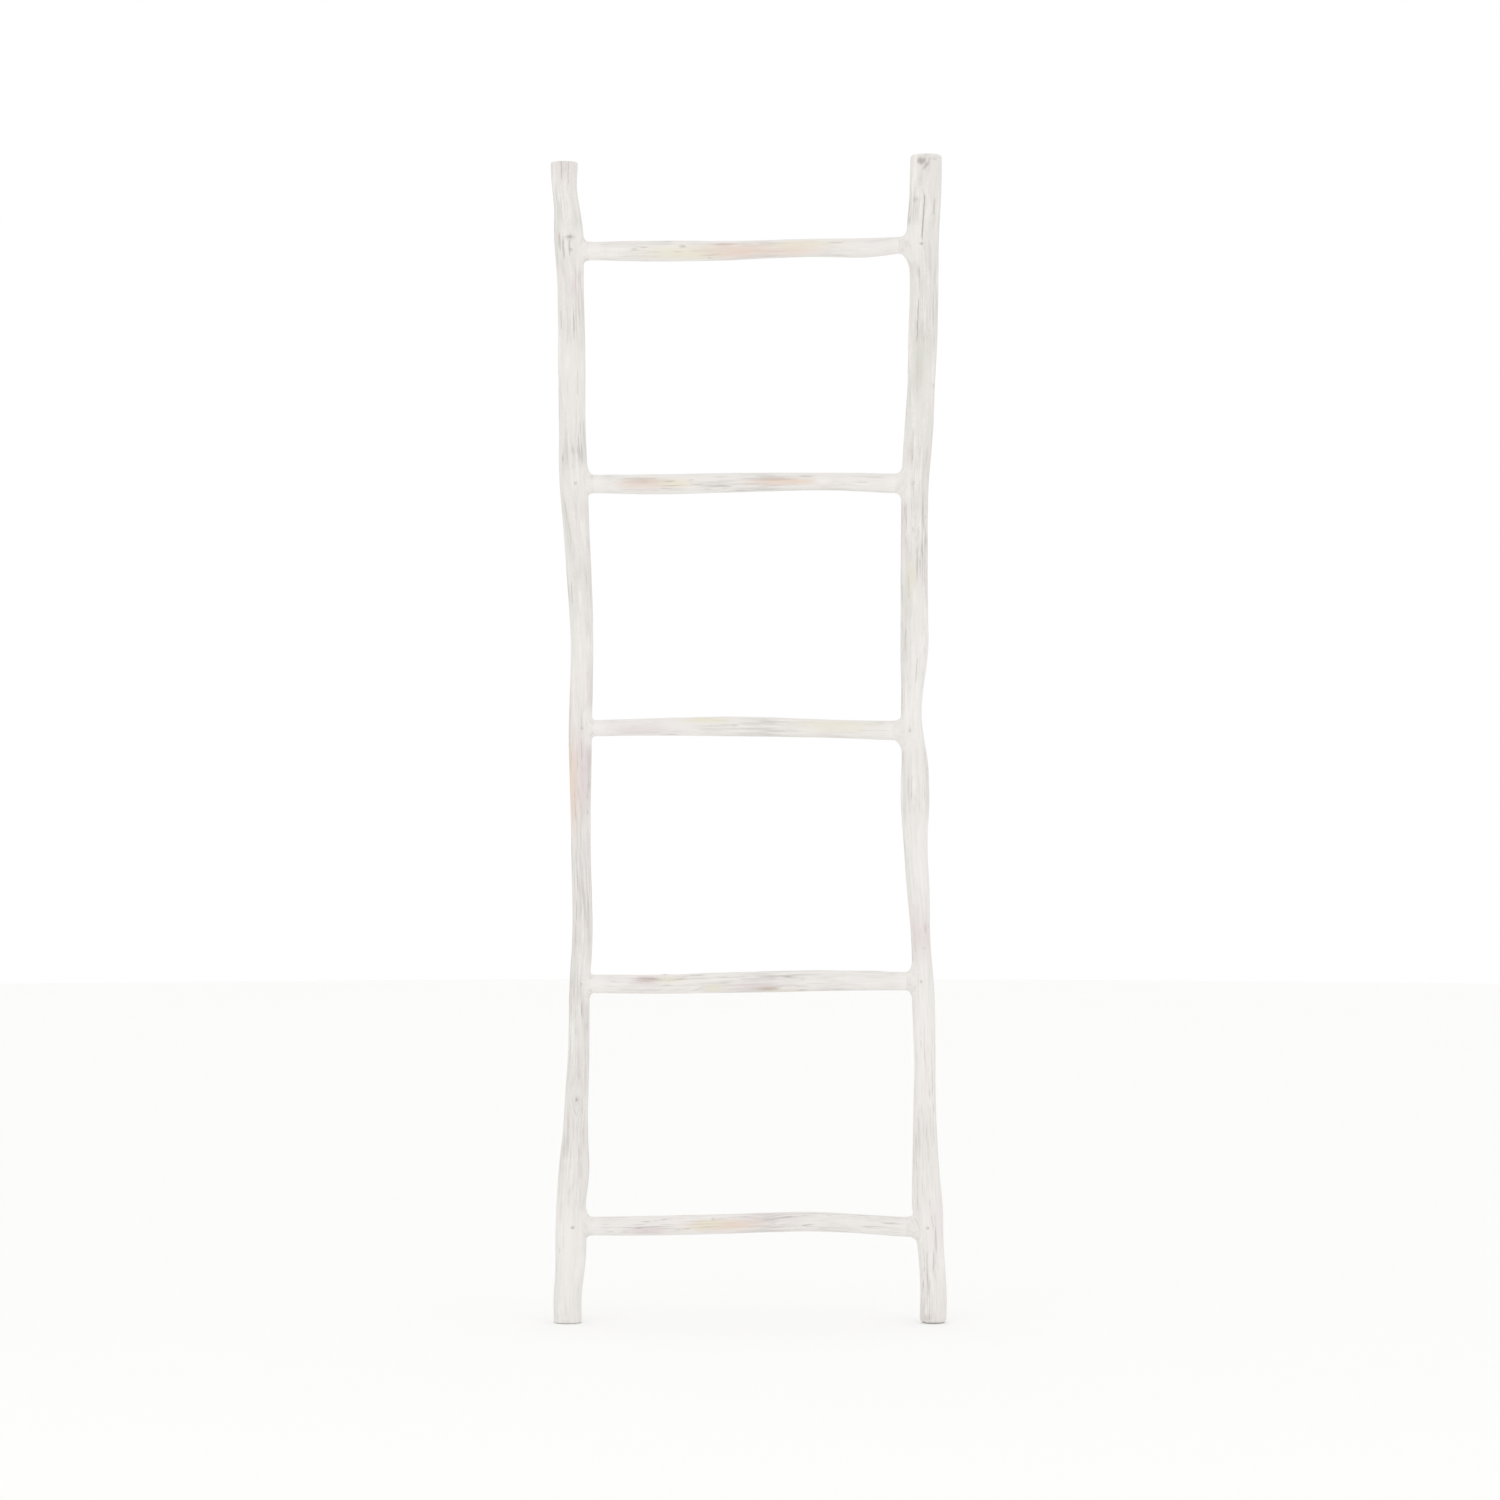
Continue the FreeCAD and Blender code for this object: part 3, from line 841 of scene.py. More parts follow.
def steps_along(low: float, high: float, step: float, windows: Sequence[Window] = ()) -> Iterator[float]:
    """Distances from low to high, closer together in the windows."""
    place = low
    while place < high:
        yield place
        finer = [w.step for w in windows if abs(place - w.middle) <= w.half]
        place += min([step] + finer)
    yield high


# Pieces


@dataclass(frozen=True)
class Meeting:
    """Where a piece meets a finished rail: the height, and the share of the rail's width it may use."""

    rail: "Rail"
    piece: bpy.types.Object
    height: float
    share: float

    SPAN = 20 * MM  # how far up and down the rail is looked at

    def band(self) -> tuple[Vector, float, float]:
        """The rail's centre here, how its depth changes with height, and half the width in use."""
        course = self.rail.course
        heights = [self.height - self.SPAN, self.height, self.height + self.SPAN]
        below, here, above = (course.centre(height) for height in heights)
        half = min(course.radius(height) for height in heights) * self.share
        return here, (above.y - below.y) / (2 * self.SPAN), half


HUG_REACH = 14 * MM  # how far from a rail its shape is felt


def hug_at(distance: float) -> float:
    """How fully a ring follows a rail from a distance."""
    return max(0.0, min(1.0, 1 - distance / HUG_REACH))


@dataclass
class Skin:
    """What a tree knows of each point of a wrapped surface."""

    turn: Value
    travel: Value
    face: Value
    radius: Value


@dataclass
class Wrapped(ABC):
    """A piece whose surface is wrapped round a spine of rings by a Geometry Nodes tree."""

    name: str
    node: str
    slot: str
    finish: Finish
    seed: int

    AXIS = Axis.UPRIGHT
    SIDES = 128
    SEAM = 0.01 * MM  # points nearer than this are joined
    RAIL_REACH = 60 * MM  # how far back from a point its ray at the rail starts

    @abstractmethod
    def rings(self) -> list[Ring]:
        """The piece's rings, from its start to its end."""

    @abstractmethod
    def relief(self, graph: MeshGraph, skin: Skin) -> Value:
        """How far the surface stands off its rings. Also keeps what the finish reads."""

    def placed(self, graph: MeshGraph, point: Direction, rings: Mapping[str, Value]) -> Direction:
        """Where a point goes in the end, given where its ring and relief put it."""
        return point

    @staticmethod
    def cast(
        graph: MeshGraph, name: str, piece: bpy.types.Object, start: Direction, way: "Term", length: Value
    ) -> Made:
        """Send a ray at a finished piece, which becomes an input of the tree under a name."""
        chosen = graph.size(name, "Object", piece)
        target = graph.add("GeometryNodeObjectInfo", inputs={"Object": chosen})["Geometry"]
        ray = {"Target Geometry": target, "Source Position": start, "Ray Direction": way}
        return graph.add("GeometryNodeRaycast", inputs={**ray, "Ray Length": length})

    def met(
        self, graph: MeshGraph, point: Direction, hug: Value, clear: Value, meeting: Meeting
    ) -> Direction:
        """Fit points to a finished rail along X, drawing in those that would pass beside it.

        Args:
            graph: The tree.
            point: Where the points would be without the rail.
            hug: How fully each point follows the rail.
            clear: How far it then stands off the rail's surface.
            meeting: The rail, and how wide a part of it may be used.
        """
        rail, out = meeting.rail, float(meeting.rail.outward)
        centre, slope, half = meeting.band()
        name = f"{rail.node} Reach".replace("_", " ").title()
        reach = graph.size(name, "Float", self.RAIL_REACH)
        x, y, z = point.parts()
        middle = (z - meeting.height) * slope + centre.y
        drawn = graph.most(graph.least(y, middle + half), middle - half)
        start = graph.vector(x - reach * out, drawn, z)
        cast = self.cast(graph, rail.name, meeting.piece, start, (out, 0.0, 0.0), reach * 2)
        seen_x = cast["Hit Position"].parts()[0]
        face_x = centre.x + (seen_x - centre.x) * cast["Is Hit"]
        wanted = face_x - clear * out
        return graph.vector(x + (wanted - x) * hug, y + (drawn - y) * hug, z)

    def build(self) -> bpy.types.Object:
        """Make the piece, settle it on its body and name what it stands for."""
        rings = self.rings()
        piece = points_object(self.name, [r.centre for r in rings], [r.numbers() for r in rings])
        self._wrap(piece)
        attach(piece, "root")
        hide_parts(self.node)
        LOG.info("%s: %d faces for %s", piece.name, len(piece.data.polygons), self.node)
        return piece

    def _wrap(self, piece: bpy.types.Object) -> None:
        """Wrap a sheet round the spine, shape it, and close its seam and its ends."""
        graph = MeshGraph(f"{self.name}_surface")
        sides = graph.size("Sides", "Int", self.SIDES)
        low = graph.size("Low Corner", "Vector", tuple(CAD_LOW))
        high = graph.size("High Corner", "Vector", tuple(CAD_HIGH))
        seam = graph.size("Seam", "Float", self.SEAM)

        spine = graph.given
        count = graph.count(spine)
        sizes = {"Size X": 1.0, "Size Y": 1.0, "Vertices X": sides + 1, "Vertices Y": count}
        graph.flow = graph.add("GeometryNodeMeshGrid", inputs=sizes)["Mesh"]
        x, y, _ = graph.position().parts()
        number = graph.maths("ROUND", (y + 0.5) * (count - 1))
        centre = graph.sample(spine, graph.position(), number)
        rings = {
            name: graph.hold(name, graph.sample(spine, graph.read(name), number)) for name in RING_NUMBERS
        }
        turn = graph.hold("turn", (x + 0.5) * TURN)
        reach_1, reach_2, face = rings["reach_1"], rings["reach_2"], rings["face"]

        first, second, own = (graph.constant(v) for v in self.AXIS.vectors())
        cosine, sine = graph.maths("COSINE", turn), graph.maths("SINE", turn)
        outward = first * cosine + second * sine
        level = centre + first * (cosine * reach_1) + second * (sine * reach_2)
        level = graph.hold("level", level)

        skin = Skin(turn, rings["travel"], face, (reach_1 + reach_2) / 2)
        relief = graph.keep("relief", self.relief(graph, skin) * rings["lumpy"])
        point = level + outward * (relief * (1 - abs(face))) + own * (face * relief)
        graph.move(self.placed(graph, point, rings))
        inside = graph.vector_maths("MAXIMUM", graph.vector_maths("MINIMUM", graph.position(), high), low)
        graph.move(inside)
        graph.step("GeometryNodeMergeByDistance", inputs={"Distance": seam})
        graph.settle(piece, self.finish.material)


@dataclass
class Branch(Wrapped):
    """A peeled, whitewashed branch with its grain, knots, cracks and worn paint."""

    marks: Sequence[Mark] = ()
    windows: Sequence[Window] = ()
    probe: Probe = field(init=False)
    course: Course = field(init=False)

    STEP = 2.6 * MM
    MEASURE_STEP = 6 * MM
    GIRTH_RADIUS = 16.5 * MM
    TWIST = 0.6  # radians of spiral grain for each metre
    SCATTER_PER_METRE = 16
    EDGE_SHARE = 0.97  # how near the outline a mark may be, as a share of the radius
    FRONT_KEPT = 1.2  # radians each side of the front that scattered marks keep off
    FIBRE_DEPTH = 0.28 * MM
    LUMP_HEIGHT = 0.55 * MM
    PIT_DEPTH = 1.1 * MM
    PIT_WALL = (2.3 * MM, 1.3 * MM)  # how far from a nail its pit begins, and where it is full depth
    # Painted shade in each nail pit: its wood is darkened from this far off the nail, fully from this near
    PIT_STAIN = (2.4 * MM, 1.5 * MM)  # how far from a nail the dark begins, and where it is full
    END_RAYS = 12  # rays round a sawn end or a tenon
    SPOT_REACH = 2.2  # how many of its lengths a spot may spread along the branch
    HAIRLINE = 0.02 * MM  # the thinnest that a line gets

    def __post_init__(self) -> None:
        """Measure the node that the branch stands for."""
        self.probe = Probe(self.node)
        self.course = self.measure()

    @abstractmethod
    def measure(self) -> Course:
        """The branch's line and radii, from the construction."""

    @abstractmethod
    def across(self) -> Vector:
        """The direction across the branch, as seen from the front."""

    def course_at(self, places: Sequence[float], middle: Vector, turns: Sequence[float]) -> Course:
        """The course through circles at places, each looked for from the middle of the one before."""
        circles = []
        for place in places:
            middle, radius = self.probe.circle(self.AXIS.moved(middle, place), self.AXIS, turns)
            circles.append((middle, radius))
        return Course.smoothed(places, circles)

    def ring(self, place: float, radius: float, travel: float, face: float = 0.0) -> Ring:
        """One ring stood across the branch's line."""
        centre = self.AXIS.moved(self.course.centre(place), place)
        return Ring(centre, radius, radius, travel, face)

    def turn_of(self, direction: Vector) -> float:
        """The turn, round the branch, of a direction."""
        first, second, _ = self.AXIS.vectors()
        return math.atan2(direction.dot(second), direction.dot(first))

    def spots(self) -> list[Spot]:
        """The photographed marks at their turns, and scattered ones round the sides and back."""
        _, _, own = self.AXIS.vectors()
        found = []
        for mark in self.marks:
            place = Vector((mark.x * MM, 0, mark.z * MM))
            along = place.dot(own)
            off = (place - self.course.centre(along)).dot(self.across())
            share = max(-self.EDGE_SHARE, min(self.EDGE_SHARE, off / self.course.radius(along)))
            direction = self.across() * share + FRONT * math.sqrt(1 - share * share)
            turn = self.turn_of(direction)
            # On one kind of branch the turn grows against the across direction.
            sense = 1.0 if self.turn_of(direction + self.across() * 0.1) > turn else -1.0
            long, wide = mark.long * MM, mark.wide * MM
            found.append(Spot(mark.kind, along, turn, long, wide, mark.power, mark.lean * sense))
        return found + self.scattered()

    def scattered(self) -> list[Spot]:
        """Knots, cracks and patches away from the front, at random but always the same."""
        dice = random.Random(self.seed)
        start, end = float(self.course.at[0]), float(self.course.at[-1])
        front = self.turn_of(FRONT)
        kinds = (
            [Kind.STREAK] * 6
            + [Kind.CHECK] * 2
            + [Kind.STAIN] * 3
            + [Kind.WORN] * 2
            + [Kind.KNOT, Kind.DENT, Kind.HONEY, Kind.PEACH, Kind.ROSE, Kind.MOSS, Kind.CHALK]
        )
        spots = []
        for _ in range(round((end - start) * self.SCATTER_PER_METRE)):
            kind = dice.choice(kinds)
            long, wide = {
                Kind.STREAK: (dice.uniform(10, 34), dice.uniform(0.9, 1.6)),
                Kind.CHECK: (dice.uniform(18, 50), dice.uniform(0.9, 1.4)),
                Kind.STAIN: (dice.uniform(3, 9), dice.uniform(2, 4)),
                Kind.KNOT: (dice.uniform(8, 12), dice.uniform(5, 7)),
                Kind.DENT: (dice.uniform(6, 14), dice.uniform(3, 6)),
            }.get(kind, (dice.uniform(20, 50), dice.uniform(5, 9)))
            turn = front + dice.uniform(self.FRONT_KEPT, TURN - self.FRONT_KEPT)
            power = dice.uniform(0.45, 0.95)
            along = dice.uniform(start, end)
            lean = dice.uniform(-0.08, 0.08)
            spots.append(Spot(kind, along, turn, long * MM, wide * MM, power, lean))
        return spots

    def nail_heads(self) -> list[tuple[float, float]]:
        """Where nails are set in the branch: the distance along it and the turn."""
        return []

    def relief(self, graph: MeshGraph, skin: Skin) -> Value:
        """Peeled wood: slow lumps, long fibres and grooves, every spot on it, and painted shade in each
        nail pit.
        """
        depth = graph.size("Fibre Depth", "Float", self.FIBRE_DEPTH)
        lump = graph.size("Lump Height", "Float", self.LUMP_HEIGHT)
        spots = self.spots()
        side = 1 - abs(skin.face)
        grain = self._grain(graph, skin, side, [s for s in spots if s.kind is Kind.KNOT])

        def cloud(name: str, number: int, stretch: float, size: float, detail: float = 2.0) -> Value:
            """Random cloud drawn out along the grain, worked out once. The number picks which."""
            own = self.seed + number / 7
            return graph.hold(name, graph.noise(grain * (1.0, 1.0, stretch), size, detail, own))

        slow = cloud("slow", 4, 0.45, 24 * MM)
        facets = cloud("facets", 6, 0.12, 11 * MM)
        fibres = cloud("long_fibres", 11, 0.04, 3.2 * MM, 3.0)
        lines = cloud("line", 4, 0.03, 6.5 * MM)
        rows = cloud("row_places", 10, 0.3, 48 * MM)
        ragged = cloud("ragged_edges", 12, 0.3, 3 * MM)
        along_only = graph.vector(0.0, 0.0, skin.travel)
        drift = graph.hold("drift", graph.noise(along_only, 13 * MM, seed=self.seed + 0.7) - 0.5)

        skipped = graph.fade(abs(lines - 0.5), 0.024, 0.0) * graph.fade(rows, 0.46, 0.62) * side
        relief = (slow - 0.55) * lump * 2 + (facets - 0.5) * lump + (fibres - 0.5) * depth * 2
        relief = relief * side - skipped * depth * 1.6

        outward_only = graph.vector(skin.radius, 0.0, drift * 0.01)
        growth = graph.noise(outward_only, 1.1 * MM, detail=1.0, seed=self.seed + 0.8)
        saw = graph.noise(grain * (0.25, 3.0, 0.0), 3 * MM, detail=3.0, seed=self.seed + 0.9)
        end = abs(skin.face)
        relief = relief - end * (saw * 0.45 + growth * 0.35) * MM
        dark = skipped * 0.5 + end * (graph.fade(growth, 0.56, 0.7) * 0.22 + 0.06)
        bare = graph.fade(rows, 0.5, 0.75) * 0.3 + end * 0.6

        # Each nail sits in a pit whose wood is darkened here: painted shade in the recess
        for along, turn in self.nail_heads():
            u, v = self._rolled(graph, skin, turn), skin.travel - along
            off = graph.maths("SQRT", u * u + v * v)
            relief = relief - (relief + self.PIT_DEPTH) * graph.fade(off, *self.PIT_WALL)
            dark = graph.most(dark, graph.fade(off, *self.PIT_STAIN) * 0.55)

        brushed = graph.hold("brushed", self.brushed(graph, skin))
        graph.hold("marks", graph.vector(relief, dark, bare))
        graph.keep("warm", graph.vector(0.0, 0.0, 0.0))
        graph.keep("cool", graph.vector(0.0, 0.0, brushed * 0.7))
        self._add_spots(graph, skin, spots, ragged, drift, fibres)
        relief, dark, bare = graph.read(graph.SCRATCH + "marks", "FLOAT_VECTOR").parts()
        graph.keep("dark", dark * (1 - brushed * 0.8))
        graph.keep("bare", bare * (1 - brushed))
        return relief

    @abstractmethod
    def brushed(self, graph: MeshGraph, skin: Skin) -> Value:
        """How thickly paint was brushed on near the joints, 0 to 1."""

    def _rolled(self, graph: MeshGraph, skin: Skin, turn: "Term") -> Value:
        """How far round the branch a point is from a turn, in metres."""
        return graph.maths("WRAP", skin.turn - turn, math.pi, -math.pi) * self.GIRTH_RADIUS

    def _grain(self, graph: MeshGraph, skin: Skin, side: Value, knots: Sequence[Spot]) -> Direction:
        """The branch's straight coordinates, with slow spiral grain that parts round the knots."""
        turn = skin.turn + skin.travel * self.TWIST
        for spot in knots:
            u, v = self._rolled(graph, skin, spot.turn), skin.travel - spot.along
            a, b = u / (spot.wide * 2.2), v / (spot.long * 2.0)
            turn = turn - u / self.GIRTH_RADIUS * graph.maths("EXPONENT", -(a * a + b * b)) * 0.75
        radius = skin.radius * (1 - side) + self.GIRTH_RADIUS * side
        cosine, sine = graph.maths("COSINE", turn), graph.maths("SINE", turn)
        return graph.keep("grain", graph.vector(cosine * radius, sine * radius, skin.travel))

    def _add_spots(
        self,
        graph: MeshGraph,
        skin: Skin,
        spots: Sequence[Spot],
        ragged: Value,
        drift: Value,
        fibres: Value,
    ) -> None:
        """Work every spot into the stored marks and tints, one spot in each round.

        Args:
            graph: The tree.
            skin: The wrapped surface.
            spots: The spots.
            ragged: Cloud that breaks up the edges.
            drift: How cracks wander along the branch.
            fibres: Cloud that frays the edges along the grain.
        """
        rows = [spot.numbers() for spot in spots]
        mesh = graph.chart("Spots", rows)
        with graph.repeated(graph.count(mesh)) as number:
            spot = {name: graph.sample(mesh, graph.read(name), number) for name in rows[0]}
            u, v = self._rolled(graph, skin, spot["turn"]), skin.travel - spot["along"]
            near = graph.maths("LESS_THAN", abs(v), spot["long"] * self.SPOT_REACH)
            u = u - v * spot["lean"] + drift * spot["line"] * 2.4 * MM
            a, b = u / spot["wide"], v / spot["long"]
            q = graph.maths("SQRT", a * a + b * b)

            taper = graph.maths("SQRT", graph.most(1 - b * b, 0.0))
            width = graph.most(taper * spot["wide"] * (0.9 + ragged * 1.3), self.HAIRLINE)
            band = graph.fade(abs(u) / width, 1.0, 0.0)
            broken = graph.fade(band + (fibres - 0.5) * 1.8 + (ragged - 0.5) * 0.6, 0.3, 1.0)
            crack = (band * 0.45 + broken * band * 0.65) * graph.fade(taper, 0.0, 0.7)
            edge = q + (ragged - 0.5) * 1.1 + (fibres - 0.5) * 0.8
            patch = graph.fade(edge, 1.2 + spot["soft"] * 0.6, 0.3 - spot["soft"] * 0.2)
            shape = (patch + (crack - patch) * spot["line"]) * spot["power"]

            knot = spot["knot"] * spot["power"]
            swell = graph.maths("EXPONENT", q * q * -0.9)
            pith = graph.fade(q + (ragged - 0.5) * 0.5, 0.42, 0.12)
            ripple = graph.maths("SINE", q * 15.0) * graph.fade(q, 1.3, 0.2)
            stub = (swell * 1.1 - pith * 1.3 + ripple * 0.12) * MM * knot
            scar = graph.most(pith * 0.7, graph.fade(ripple, 0.3, 0.95) * 0.22) * knot

            marks = graph.read(graph.SCRATCH + "marks", "FLOAT_VECTOR")
            relief, dark, bare = marks.parts()
            relief = relief + stub - shape * spot["groove"]
            dark = graph.most(dark, graph.most(shape * spot["shade"], scar))
            bare = graph.most(bare, shape * spot["rub"])
            graph.keep(graph.SCRATCH + "marks", graph.vector(relief, dark, bare), near)
            for name, tints in (("warm", WARM_TINTS), ("cool", COOL_TINTS)):
                new = graph.vector(*(spot[tint] * shape for tint in tints))
                old = graph.read(name, "FLOAT_VECTOR")
                graph.keep(name, graph.vector_maths("MAXIMUM", old, new), near)


@dataclass
class Rail(Branch):
    """An upright rail with worn sawn ends, and a nail in front of each rung."""

    outward: int = 1
    nails: Sequence[str] = ()

    AXIS = Axis.UPRIGHT
    SIDES = 144
    INNER_BLIND = 0.8  # radians each side of the inner face where mortises may be
    RAYS = 17  # gaps between the rays of one section
    WORN_END = 9 * MM  # how much of each end is too worn to measure
    LEAD = 4  # how many measures back an end's slope is taken from
    WEAR_LEAST = 1.2 * MM
    WEAR_MOST = 6.5 * MM
    SKIM = 0.02 * MM  # how far inside its face an end is measured
    FACE_RINGS = 18
    EDGE_STEP = 12  # degrees
    BRUSHED_ALONG = (34 * MM, 15 * MM)  # how far from a joint the brushed paint starts, and is full
    BRUSHED_ROUND = (25 * MM, 14 * MM)  # the same, round the rail from its inner side

    def across(self) -> Vector:
        """The direction across the rail, as seen from the front."""
        return Vector((1, 0, 0))

    def measure(self) -> Course:
        """Circles up the rail, from rays that keep off its inner face."""
        inner = self.turn_of(Vector((-self.outward, 0, 0)))
        span = TURN - 2 * self.INNER_BLIND
        turns = [inner + self.INNER_BLIND + span * k / self.RAYS for k in range(self.RAYS + 1)]
        low, high = self.probe.low.z, self.probe.high.z
        heights = list(steps_along(low + self.WORN_END, high - self.WORN_END, self.MEASURE_STEP))
        middle = Vector(((self.probe.low.x + self.probe.high.x) / 2, 0, heights[0]))
        return self._to_the_ends(self.course_at(heights, middle, turns), low, high)

    def _to_the_ends(self, course: Course, low: float, high: float) -> Course:
        """The course carried on, straight, to the sawn ends."""

        def beyond(rows: np.ndarray, place: float, end: int) -> np.ndarray:
            """A row carried on past one end of the course at its slope there."""
            near, far = (0, self.LEAD) if end == 0 else (-1, -1 - self.LEAD)
            slope = (rows[near] - rows[far]) / (course.at[near] - course.at[far])
            return rows[near] + slope * (place - course.at[near])

        at = np.concatenate([[low], course.at, [high]])
        ends = [(low, 0), (high, -1)]
        (c0, c1), (r0, r1) = (
            [beyond(rows, place, end) for place, end in ends] for rows in (course.centres, course.radii)
        )
        centres = np.concatenate([[c0], course.centres, [c1]])
        centres[0, 2], centres[-1, 2] = low, high
        return Course(at, centres, np.concatenate([[r0], course.radii, [r1]]))

    def _edge_round(self, end: float, inward: float) -> float:
        """How far the edge of a sawn end is worn back, measured just inside its face."""
        rough = self.AXIS.moved(self.course.centre(end), end + inward * self.SKIM)
        _, face_radius = self.probe.circle(rough, self.AXIS, all_round(self.END_RAYS))
        return max(self.WEAR_LEAST, min(self.WEAR_MOST, self.course.radius(end) - face_radius))

    def rings(self) -> list[Ring]:
        """The foot's face, its worn edge, the rail, the top's worn edge and its face."""
        low, high = self.probe.low.z, self.probe.high.z
        foot, top = self._edge_round(low, 1.0), self._edge_round(high, -1.0)
        between = steps_along(low + foot, high - top, self.STEP, self.windows)
        middle = [self.ring(height, self.course.radius(height), height) for height in between]
        return self._sawn_end(low, foot, -1) + middle + self._sawn_end(high, top, 1)[::-1]

    def _sawn_end(self, place: float, wear: float, outward: int) -> list[Ring]:
        """The rings of one end, from the middle of its face to where its wear stops."""
        flat = self.course.radius(place) - wear
        found = []
        for k in range(self.FACE_RINGS + 1):
            share = k / self.FACE_RINGS
            travel = place + outward * flat * (1 - share)
            found.append(self.ring(place, flat * share, travel, float(outward)))
        for degrees in range(self.EDGE_STEP, 90, self.EDGE_STEP):
            bend = math.radians(degrees)
            height = place - outward * wear * (1 - math.cos(bend))
            radius = self.course.radius(height) - wear * (1 - math.sin(bend))
            found.append(self.ring(height, radius, height, outward * math.cos(bend)))
        return found

    def nail_heads(self) -> list[tuple[float, float]]:
        """Where the nails go into the front of the rail."""
        heads = []
        for nail in self.nails:
            low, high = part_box(nail)
            middle = (low + high) / 2
            off = (middle.x - self.course.centre(middle.z).x) / self.course.radius(middle.z)
            direction = Vector((off, -math.sqrt(1 - off * off), 0))
            heads.append((middle.z, self.turn_of(direction)))
        return heads

    def brushed(self, graph: MeshGraph, skin: Skin) -> Value:
        """Paint brushed round the beads, on the inner side."""
        off = self._rolled(graph, skin, self.turn_of(Vector((-self.outward, 0, 0))))
        joints = [along for along, _ in self.nail_heads()]
        near = [graph.fade(abs(skin.travel - along), *self.BRUSHED_ALONG) for along in joints]
        return reduce(graph.most, near) * graph.fade(abs(off), *self.BRUSHED_ROUND)


@dataclass
class Rung(Branch):
    """A level rung, with a tenon on each end that goes into its rail."""

    left_rail: Optional[Rail] = None
    right_rail: Optional[Rail] = None
    rail_pieces: Mapping[str, bpy.types.Object] = field(default_factory=dict)

    AXIS = Axis.LEVEL
    SIDES = 128
    STEP = 2.0 * MM
    GIRTH_RADIUS = 12.5 * MM
    CLEAR_OF_RAIL = 7 * MM  # how far from the rails the rung is measured
    BURIED = 1.5 * MM  # how far the shoulders run into the rails
    RAIL_SHARE = 0.84
    SCATTER_PER_METRE = 22
    RAYS = 16
    TIP_RINGS = 4
    TENON_STEPS = 8
    SHOULDER_RINGS = 4
    CHAMFER = 1 * MM
    TENON_SIGHT = 3 * MM  # how far from its tip a tenon is measured
    BRUSHED = (-28 * MM, -9 * MM)  # where brushed paint starts and is full, beyond a rail's face

    def across(self) -> Vector:
        """The direction across the rung, as seen from the front."""
        return Vector((0, 0, 1))

    def height(self) -> float:
        """The height of the rung's middle."""
        return (self.probe.low.z + self.probe.high.z) / 2

    def face_x(self, rail: Rail) -> float:
        """Where the inner face of a rail is at the rung's height."""
        height = self.height()
        return rail.course.centre(height).x - rail.outward * rail.course.radius(height)

    def brushed(self, graph: MeshGraph, skin: Skin) -> Value:
        """Paint brushed over the beads and a little way along the rung."""
        start, end = self.face_x(self.left_rail), self.face_x(self.right_rail)
        along = abs(skin.travel - (start + end) / 2) - (end - start) / 2
        return graph.fade(along, *self.BRUSHED)

    def placed(self, graph: MeshGraph, point: Direction, rings: Mapping[str, Value]) -> Direction:
        """Cope the shoulders to the finished rails."""
        left = Meeting(self.left_rail, self.rail_pieces["left"], self.height(), self.RAIL_SHARE)
        right = Meeting(self.right_rail, self.rail_pieces["right"], self.height(), self.RAIL_SHARE)
        point = self.met(graph, point, graph.most(-rings["hug"], 0.0), rings["clear"], left)
        return self.met(graph, point, graph.most(rings["hug"], 0.0), rings["clear"], right)

    def measure(self) -> Course:
        """Circles along the rung between the rails, carried on level into both."""
        start = self.face_x(self.left_rail) + self.CLEAR_OF_RAIL
        end = self.face_x(self.right_rail) - self.CLEAR_OF_RAIL
        places = list(steps_along(start, end, self.MEASURE_STEP))
        middle = (self.probe.low + self.probe.high) / 2
        return self.course_at(places, middle, all_round(self.RAYS))

    def tenon_radius(self, tip: float, outward: float) -> float:
        """The radius of a tenon, measured inside its chamfered tip."""
        place = tip - outward * self.TENON_SIGHT
        rough = self.AXIS.moved(self.course.centre(place), place)
        return self.probe.circle(rough, self.AXIS, all_round(self.END_RAYS))[1]

    def rings(self) -> list[Ring]:
        """The left tenon, its shoulder, the rung, and the right shoulder and tenon."""
        left, right = self._end(self.left_rail), self._end(self.right_rail)
        start, end = self.face_x(self.left_rail), self.face_x(self.right_rail)
        middle = []
        for x in steps_along(start - self.BURIED, end + self.BURIED, self.STEP):
            ring = self.ring(x, self.course.radius(x), x)
            ring.clear = min(x - start, end - x)
            ring.hug = hug_at(ring.clear) * (-1 if x - start < end - x else 1)
            middle.append(ring)
        return left + middle + list(reversed(right))

    def _end(self, rail: Rail) -> list[Ring]:
        """The rings of one tenon, from the middle of its tip to the rung's shoulder."""
        out = rail.outward
        tip = self.probe.high.x if out > 0 else self.probe.low.x
        radius = self.tenon_radius(tip, out)
        shoulder = self.face_x(rail) + out * self.BURIED
        full, flat = self.course.radius(shoulder), radius - self.CHAMFER
        found = []
        for k in range(self.TIP_RINGS + 1):
            found.append(self.ring(tip, flat * k / self.TIP_RINGS, tip, float(out)))
        found.append(self.ring(tip - out * self.CHAMFER, radius, tip))
        for k in range(1, self.TENON_STEPS - 1):
            found.append(self.ring(tip + (shoulder - tip) * k / self.TENON_STEPS, radius, tip))
        for ring in found:
            ring.lumpy = 0.0
        for k in range(self.SHOULDER_RINGS):
            coped = self.ring(shoulder, radius + (full - radius) * k / self.SHOULDER_RINGS, shoulder)
            coped.hug, coped.clear, coped.lumpy = float(out), -self.BURIED, 0.0
            found.append(coped)
        return found


